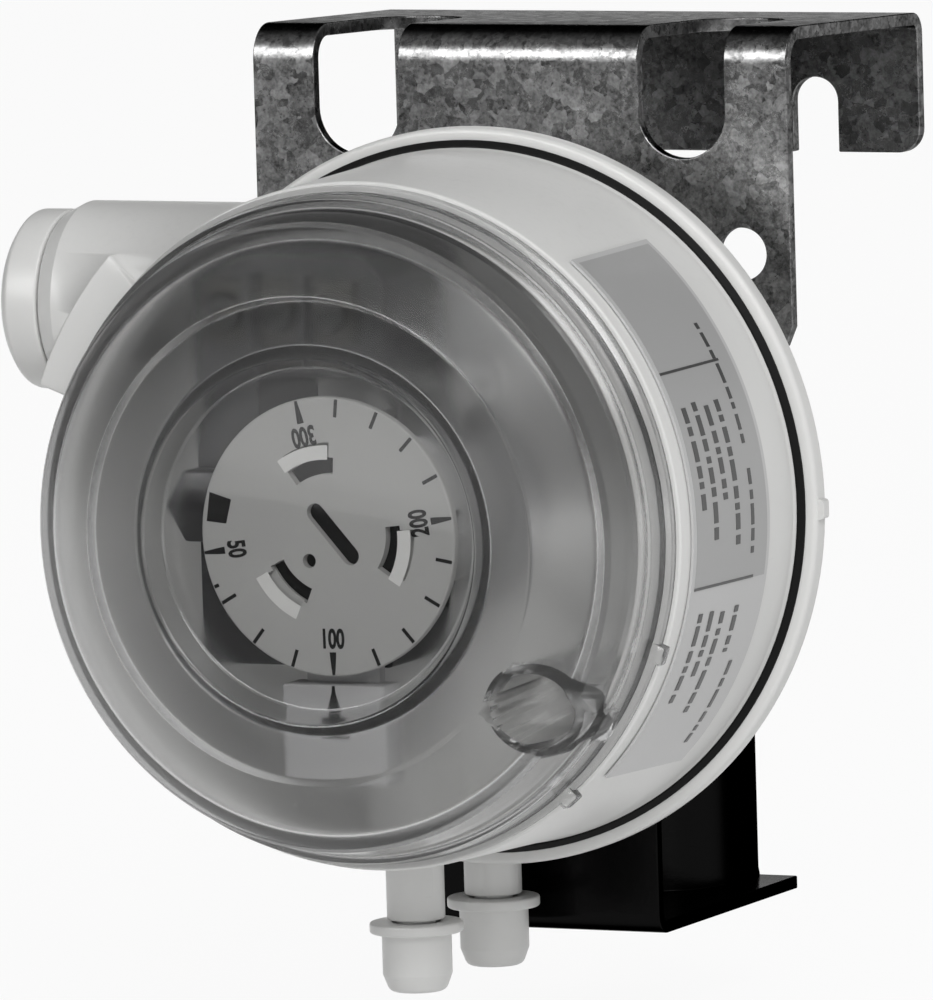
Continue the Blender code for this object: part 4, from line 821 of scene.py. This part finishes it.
def build_bracket(thick, edge):
    front, wall, foot = 13.6, 52.5, -51.6
    fore, rear, outer, nose = 52.3, 51.2, 2.5, 4.0
    low = 34.9
    # middle, radius, first angle, last angle and points of each bend
    bends = (((wall - outer, rear - outer), outer, 0, 90, 9),
             ((front + nose, fore - nose), nose, 90, 180, 15),
             ((front + outer, foot + outer), outer, 180, 270, 9))
    side = [(wall, low)]
    for centre, radius, start, end, count in bends:
        side += ring_points(radius, start, end, count, centre)
    side += [(wall, foot), (wall, foot + thick)]
    for centre, radius, start, end, count in reversed(bends):
        side += ring_points(radius - thick, end, start, count, centre)
    side.append((wall - thick, low))
    across = stand(Matrix.Rotation(math.pi / 2, 4, "Z") @ FORWARD)
    sheet = slab("bracket_sheet", side, -33.5, 33.5, across, 25.0)
    tools = []
    back = stand(FORWARD)
    plan = stand(Matrix.Identity(4))
    for sign in (1, -1):
        edge_x, tab = sign * 33.5, sign * 14.9
        trim = [(sign * 36.0, -60.0), (sign * 36.0, 18.5), (edge_x, 18.5), (sign * 32.5, 16.2),
                (tab, 16.2), (tab, -60.0)]
        tools.append(slab("trim", trim, -70.0, -8.0, back))
        x = sign * 20.4
        tools.append(slab("front_slot", open_slot(x, 42.8, 58.0, 5.35), -19.0, -9.0, back))
        tools.append(slab("top_slot", open_slot(x, 29.85, 12.0, 5.35), 45.0, 55.0, plan))
        tools.append(slab("hanging", open_slot(x, 40.8, 32.0, 2.8), -54.0, -49.0, back))
        turn = (-90.0, 0.0) if sign > 0 else (270.0, 180.0)
        centre = (edge_x - sign * 2.8, low + 2.8)
        corner = ring_points(2.8, *turn, 10, centre) + [
            (edge_x + sign, low + 2.8), (edge_x + sign, low - 1.0), (centre[0], low - 1.0)]
        tools.append(slab("corner", corner, -54.0, -49.0, back))
        tools.append(rod("hole", 3.0, -12.0, -17.0, 48, stand(FORWARD, sign * 27.45, z=26.7)))
        tools.append(rod("screw_hole", 2.0, -12.0, -17.0, 32, stand(FORWARD, z=sign * SCREW_Z)))
    cut(sheet, *tools)
    half, y = 10.0, wall - 17.5 + 10.0
    outline = (ring_points(half, 0, -180, 48, (0.0, y)) + [(-half, wall), (thick - half, wall)]
               + ring_points(half - thick, -180, 0, 48, (0.0, y)) + [(half - thick, wall), (half, wall)])
    weld(sheet, slab("upright", outline, -50.9, -31.6, plan))
    return soften(sheet, edge, 2, 50.0)


# Settings

def length_setting(name, text, default, low, high):
    return FloatProperty(name=name, description=text, default=default, min=low, max=high,
                         subtype="DISTANCE", unit="LENGTH")


def angle_setting(name, text, degrees):
    return FloatProperty(name=name, description=text, default=math.radians(degrees),
                         subtype="ANGLE", unit="ROTATION")


def tone_setting(name, text, *tone):
    return FloatVectorProperty(name=name, description=text, default=tone, min=0.0, max=1.0,
                               subtype="COLOR")


class SwitchSizes(bpy.types.PropertyGroup):
    shell_steps: IntProperty(name="Shell steps", description="Facets round the housing and the cover",
                             default=160, min=48, max=256)
    sheet: length_setting("Sheet", "Thickness of the bracket's sheet", 0.0015, 0.001, 0.0025)
    sheet_edge: length_setting("Sheet edge", "Rounding of the sheet's cut edges", 0.00016, 0.0, 0.0005)
    ink: length_setting("Ink height", "How far print stands on the dial", 0.00003, 0.00001, 0.0002)


class SwitchColours(bpy.types.PropertyGroup):
    housing: tone_setting("Housing", "Moulded housing, gland and caps", 0.70, 0.70, 0.69)
    inner: tone_setting("Inner parts", "Plastic parts under the cover", 0.42, 0.42, 0.42)
    dial: tone_setting("Dial", "Set-point dial", 0.45, 0.45, 0.44)
    cover: tone_setting("Cover", "Tint of the clear cover", 0.97, 0.97, 0.97)
    label: tone_setting("Label", "Film of the label", 0.52, 0.52, 0.52)
    zinc_bright: tone_setting("Zinc, bright", "Bright crystals of the bracket", 0.30, 0.30, 0.30)
    zinc_dull: tone_setting("Zinc, dull", "Dull crystals of the bracket", 0.045, 0.045, 0.045)


class SwitchStage(bpy.types.PropertyGroup):
    azimuth: angle_setting("Azimuth", "Camera's turn to the right", 25.56)
    elevation: angle_setting("Elevation", "Camera's height as an angle", 6.4)
    roll: angle_setting("Roll", "Turn of the picture", -1.67)
    distance: length_setting("Distance", "Camera to the switch", 1.47, 0.3, 10.0)
    lens: FloatProperty(name="Lens", description="Focal length in millimetres", default=500.84, min=50.0)
    target: FloatVectorProperty(name="Target", description="Point that the camera looks at",
                                subtype="TRANSLATION", default=(-0.00141, -0.0525, -0.0426))
    floor_drop: length_setting("Floor drop", "Floor below the lowest piece", 0.009, 0.0, 0.1)
    fill: FloatProperty(name="Fill", description="Soft light from all round", default=0.33,
                        min=0.0, max=2.0)
    panel: FloatProperty(name="Panel", description="Bright panel at the front left that gloss mirrors",
                         default=10.0, min=0.0, max=20.0)
    room: FloatProperty(name="Room", description="How bright gloss sees the room in front",
                        default=0.07, min=0.0, max=1.0, subtype="FACTOR")
    white_room: BoolProperty(name="White room", description="Camera sees a white surround", default=True)


# Operators

class SwitchOperator:
    bl_options = {"REGISTER", "UNDO"}

    @property
    def sizes(self):
        return bpy.context.scene.switch_sizes


class SWITCH_OT_housing(SwitchOperator, bpy.types.Operator):
    """Two halves of the housing with the ports and the gland's boss"""
    bl_idname = "switch.housing"
    bl_label = "Housing"

    def execute(self, context):
        steps = self.sizes.shell_steps
        for node, build in (("rear_housing", build_rear_housing), ("front_housing", build_front_housing)):
            dress(build(steps), "housing_plastic", replaces=[node])
        groove = [(39.0, -0.66), (40.6, -0.66), (40.6, 0.16), (40.0, 0.62), (39.0, 0.62)]
        dress(lathe("seam_line", groove, steps, closed=True), "dark_floor")
        return {"FINISHED"}


class SWITCH_OT_cover(SwitchOperator, bpy.types.Operator):
    """Clear cover with its screw well and the seal under its rim"""
    bl_idname = "switch.cover"
    bl_label = "Cover"

    def execute(self, context):
        cover = build_cover(self.sizes.shell_steps)
        dress(cover, "clear_cover", replaces=["cover"])
        repaint("cover_seal", "seal_rubber")
        screw = slotted_screw("cover_screw_bright", 22.3, 2.0, 2.7, 1.5, 12.0, WELL, 0.8)
        dress(screw, "bright_plating", replaces=["cover_screw"])
        return {"FINISHED"}


class SWITCH_OT_label(SwitchOperator, bpy.types.Operator):
    """Label round the side wall, with plain fields, lines and bars"""
    bl_idname = "switch.label"
    bl_label = "Label"

    def execute(self, context):
        overlay = wall_patch("label_film_strip", -45.0, 50.0, 8.0, 27.0, 0.12, 90, 0.3)
        dress(overlay, "label_pale", replaces=["label"])
        field = wall_patch("label_field_strip", -9.8, 49.0, 8.7, 26.2, 0.43, 60, 0.02)
        dress(field, "label_field")
        dress(gather("label_print", label_marks()), "label_line")
        return {"FINISHED"}


class SWITCH_OT_dial(SwitchOperator, bpy.types.Operator):
    """Set-point dial with its scale"""
    bl_idname = "switch.dial"
    bl_label = "Dial"

    def execute(self, context):
        dress(build_dial(), "dial_plastic", "dial", ["dial"])
        dress(gather("dial_print", dial_marks(self.sizes.ink / MM)), "dial_ink", "dial")
        # Painted shade: black floors under the dial's driver slot, hole and windows.
        dress(gather("dial_floors", dial_shadows()), "dark_floor", "dial")
        ledges = [slab("ledge", sector(8.6, 10.2, m - 18.6, m + 18.6), DIAL_FACE, DIAL_FACE + STRIP)
                  for m in WINDOWS]
        dress(gather("dial_ledges", ledges), "ledge_plastic", "dial")
        return {"FINISHED"}


class SWITCH_OT_works(SwitchOperator, bpy.types.Operator):
    """Dial frame, pointer, snap switch, terminals, lever, spring and diaphragm"""
    bl_idname = "switch.works"
    bl_label = "Works"

    def execute(self, context):
        dress(build_dial_frame(), "inner_plastic", replaces=["dial_frame"])
        arrow = [(-0.95, -20.0), (0.95, -20.0), (0.22, -17.4), (0.16, -16.7), (-0.16, -16.7),
                 (-0.22, -17.4)]
        sign = [(-1.5, -22.5), (1.8, -22.5), (1.8, -21.6), (0.9, -21.6), (0.9, -20.9), (-0.6, -20.9),
                (-0.6, -21.6), (-1.5, -21.6)]
        marks = [slab("mark", outline, HEAD_FACE, HEAD_FACE + STRIP) for outline in (arrow, sign)]
        dress(gather("pointer_print", marks), "dial_ink")
        dress(build_snap_switch(), "black_moulding", replaces=["snap_switch"])
        for number, x in zip("123", TERMINALS):
            dress(build_terminal(x), "tinned_brass", replaces=["terminal_" + number])
            screw = slotted_screw("terminal_screw_bright_" + number, 32.5, 1.4, 2.1, 1.2, 24.7,
                                  stand(FORWARD, x, z=TERMINAL_Z), 0.6)
            dress(screw, "dark_plating", replaces=["terminal_screw_" + number])
        stem = rod("switch_fixing_stem", 1.2, 31.1, 9.5, 32, SWITCH_FIXING)
        head = slab("hexagon", ring_points(4.62, 0, 300, 6), 31.0, 34.6, SWITCH_FIXING)
        weld(stem, bake(soften(head, 0.3)))
        dress(stem, "black_moulding", replaces=["switch_screw"])
        for node, mat in (
                ("switch_button", "black_moulding"), ("lever", "bright_plating"),
                ("lever_pin", "bright_plating"), ("plunger_pin", "bright_plating"),
                ("spring", "spring_steel"), ("spring_nut", "inner_plastic"),
                ("diaphragm", "diaphragm_silicone"), ("diaphragm_plate", "inner_plastic")):
            repaint(node, mat)
        return {"FINISHED"}


class SWITCH_OT_gland(SwitchOperator, bpy.types.Operator):
    """Cable gland's nut and bush"""
    bl_idname = "switch.gland"
    bl_label = "Gland"

    def execute(self, context):
        dress(build_gland_nut(), "housing_plastic", "gland_nut", ["gland_nut"])
        repaint("gland_bush", "seal_rubber")
        return {"FINISHED"}


class SWITCH_OT_caps(SwitchOperator, bpy.types.Operator):
    """Dust caps on the two pressure ports"""
    bl_idname = "switch.caps"
    bl_label = "Port caps"

    def execute(self, context):
        for side in PORTS:
            dress(build_cap(side), "housing_plastic", "cap_" + side, ["port_cap_" + side])
        return {"FINISHED"}


class SWITCH_OT_bracket(SwitchOperator, bpy.types.Operator):
    """Folded galvanised bracket and the screws that hold it"""
    bl_idname = "switch.bracket"
    bl_label = "Bracket"

    def execute(self, context):
        sheet = build_bracket(self.sizes.sheet / MM, self.sizes.sheet_edge / MM)
        dress(sheet, "galvanised_sheet", replaces=["bracket"])
        for name, z in (("upper", SCREW_Z), ("lower", -SCREW_Z)):
            place = stand(FORWARD @ DOWNWARD, z=z)
            screw = slotted_screw("bracket_screw_bright_" + name, 15.4, 2.0, 3.4, 1.7, 9.3, place, 0.8)
            dress(screw, "bright_plating", replaces=["bracket_screw_" + name])
        return {"FINISHED"}


def area_lamp(name, location, target, size, power):
    lamp = bpy.data.lights.new(name, "AREA")
    lamp.shape = "RECTANGLE"
    lamp.size, lamp.size_y = size
    lamp.energy = power
    obj = new_object(name, lamp)
    obj.location = location
    obj.rotation_euler = (Vector(target) - Vector(location)).to_track_quat("-Z", "Y").to_euler()
    return obj


def white_rays(net):
    """Two masks: 1 for camera rays, and 1 for rays from a gloss or a clear piece."""
    path = net.add("LightPath").outputs
    return path["Is Camera Ray"], net.maths("MAXIMUM", path["Is Glossy Ray"], path["Is Transmission Ray"])


def build_floor(stage):
    """Floor that ends a little in front of the switch, so that its window doesn't mirror it."""
    size, front = 12.0, 0.55
    bm = bmesh.new()
    bmesh.ops.create_grid(bm, x_segments=2, y_segments=2, size=size)
    bmesh.ops.translate(bm, verts=bm.verts, vec=(0.0, size - front, CAD_BOX[0][2] - stage.floor_drop))
    floor = mesh_from("floor", bm)
    shader, net = finish_base("floor_pale", roughness=0.9)
    net.feed(shader, Base_Color=grey(0.90))
    glow = net.feed(net.add("Emission"), Strength=1.0)[0]
    share = 0.93 if stage.white_room else 0.0
    white = net.maths("MULTIPLY", net.maths("MAXIMUM", *white_rays(net)), share)
    net.feed(net.tree.nodes["Material Output"], Surface=net.blend(white, shader.outputs["BSDF"], glow))
    floor.data.materials.append(bpy.data.materials["floor_pale"])


def build_world(stage):
    """White for the camera, soft fill for the pieces, and for gloss a dark room with one bright panel."""
    world = bpy.data.worlds.new("studio")
    world.use_nodes = True
    net = Net(world.node_tree)
    direct, seen = white_rays(net)
    x, y, z = net.split(net.add("TexCoord").outputs["Generated"])
    sweep = net.maths("MULTIPLY", net.ramp(y, 0.35, 0.75), net.ramp(z, 0.30, 0.10))
    ceiling = net.maths("MULTIPLY", net.ramp(z, 0.5, 0.9), 0.35)
    room = net.maths("MAXIMUM", net.maths("MAXIMUM", sweep, ceiling), stage.room)
    rise = net.maths("MULTIPLY", net.ramp(z, 0.12, 0.22), net.ramp(z, 0.56, 0.44))
    front = net.maths("MULTIPLY", net.ramp(y, -0.6, -0.72), net.ramp(x, 0.15, -0.05))
    panel = net.maths("MULTIPLY", net.maths("MULTIPLY", rise, front), stage.panel)
    soft = net.mix(seen, stage.fill, net.maths("MAXIMUM", room, panel))
    net.feed(world.node_tree.nodes["Background"], Color=grey(1.0),
             Strength=net.mix(direct, soft, 1.0 if stage.white_room else stage.fill))
    return world


class SWITCH_OT_stage(SwitchOperator, bpy.types.Operator):
    """Camera, floor, soft lamps and a white surround"""
    bl_idname = "switch.stage"
    bl_label = "Stage"

    def execute(self, context):
        scene, stage = context.scene, context.scene.switch_stage
        az, el, roll = stage.azimuth, stage.elevation, stage.roll
        look = Vector((-math.sin(az) * math.cos(el), math.cos(az) * math.cos(el), -math.sin(el)))
        right = Vector((math.cos(az), math.sin(az), 0.0))
        up = right.cross(look)
        turned_right = right * math.cos(roll) + up * math.sin(roll)
        turned_up = up * math.cos(roll) - right * math.sin(roll)
        camera = new_object("camera", bpy.data.cameras.new("camera"))
        camera.matrix_world = Matrix.Translation(Vector(stage.target) - look * stage.distance) @ Matrix(
            (turned_right, turned_up, -look)).transposed().to_4x4()
        camera.data.sensor_fit = "HORIZONTAL"
        camera.data.sensor_width = 36.0
        camera.data.lens = stage.lens
        camera.data.clip_end = 50.0
        scene.camera = camera

        build_floor(stage)
        scene.world = build_world(stage)
        middle = tuple((Vector(CAD_BOX[0]) + Vector(CAD_BOX[1])) / 2)
        area_lamp("key", (0.60, -0.90, 0.72), middle, (0.8, 0.6), 9.8)
        area_lamp("low", (0.45, -0.70, -0.08), (0.0, -0.05, -0.08), (0.7, 0.10), 0.7)
        scene.view_settings.view_transform = "Standard"
        return {"FINISHED"}


OPERATORS = (SWITCH_OT_stage, SWITCH_OT_housing, SWITCH_OT_cover, SWITCH_OT_label, SWITCH_OT_dial,
             SWITCH_OT_works, SWITCH_OT_gland, SWITCH_OT_caps, SWITCH_OT_bracket)


class SWITCH_PT_panel(bpy.types.Panel):
    """Lists the settings and the pieces of the switch"""
    bl_label = "Pressure switch"
    bl_idname = "SWITCH_PT_panel"
    bl_space_type = "VIEW_3D"
    bl_region_type = "UI"
    bl_category = "Switch"

    def draw(self, context):
        layout = self.layout
        scene = context.scene
        for group in (scene.switch_sizes, scene.switch_colours, scene.switch_stage):
            column = layout.column()
            for name in group.bl_rna.properties.keys():
                if name not in ("rna_type", "name"):
                    column.prop(group, name)
        for operator in OPERATORS:
            layout.operator(operator.bl_idname)


CLASSES = (SwitchSizes, SwitchColours, SwitchStage, *OPERATORS, SWITCH_PT_panel)


def register():
    for cls in CLASSES:
        bpy.utils.register_class(cls)
    bpy.types.Scene.switch_sizes = PointerProperty(type=SwitchSizes)
    bpy.types.Scene.switch_colours = PointerProperty(type=SwitchColours)
    bpy.types.Scene.switch_stage = PointerProperty(type=SwitchStage)


def unregister():
    del bpy.types.Scene.switch_stage, bpy.types.Scene.switch_colours, bpy.types.Scene.switch_sizes
    for cls in reversed(CLASSES):
        bpy.utils.unregister_class(cls)


def main():
    register()
    bpy.ops.switch.stage()
    bpy.ops.switch.housing()
    bpy.ops.switch.cover()
    bpy.ops.switch.label()
    bpy.ops.switch.dial()
    bpy.ops.switch.works()
    bpy.ops.switch.gland()
    bpy.ops.switch.caps()
    bpy.ops.switch.bracket()


if __name__ == "__main__":
    main()
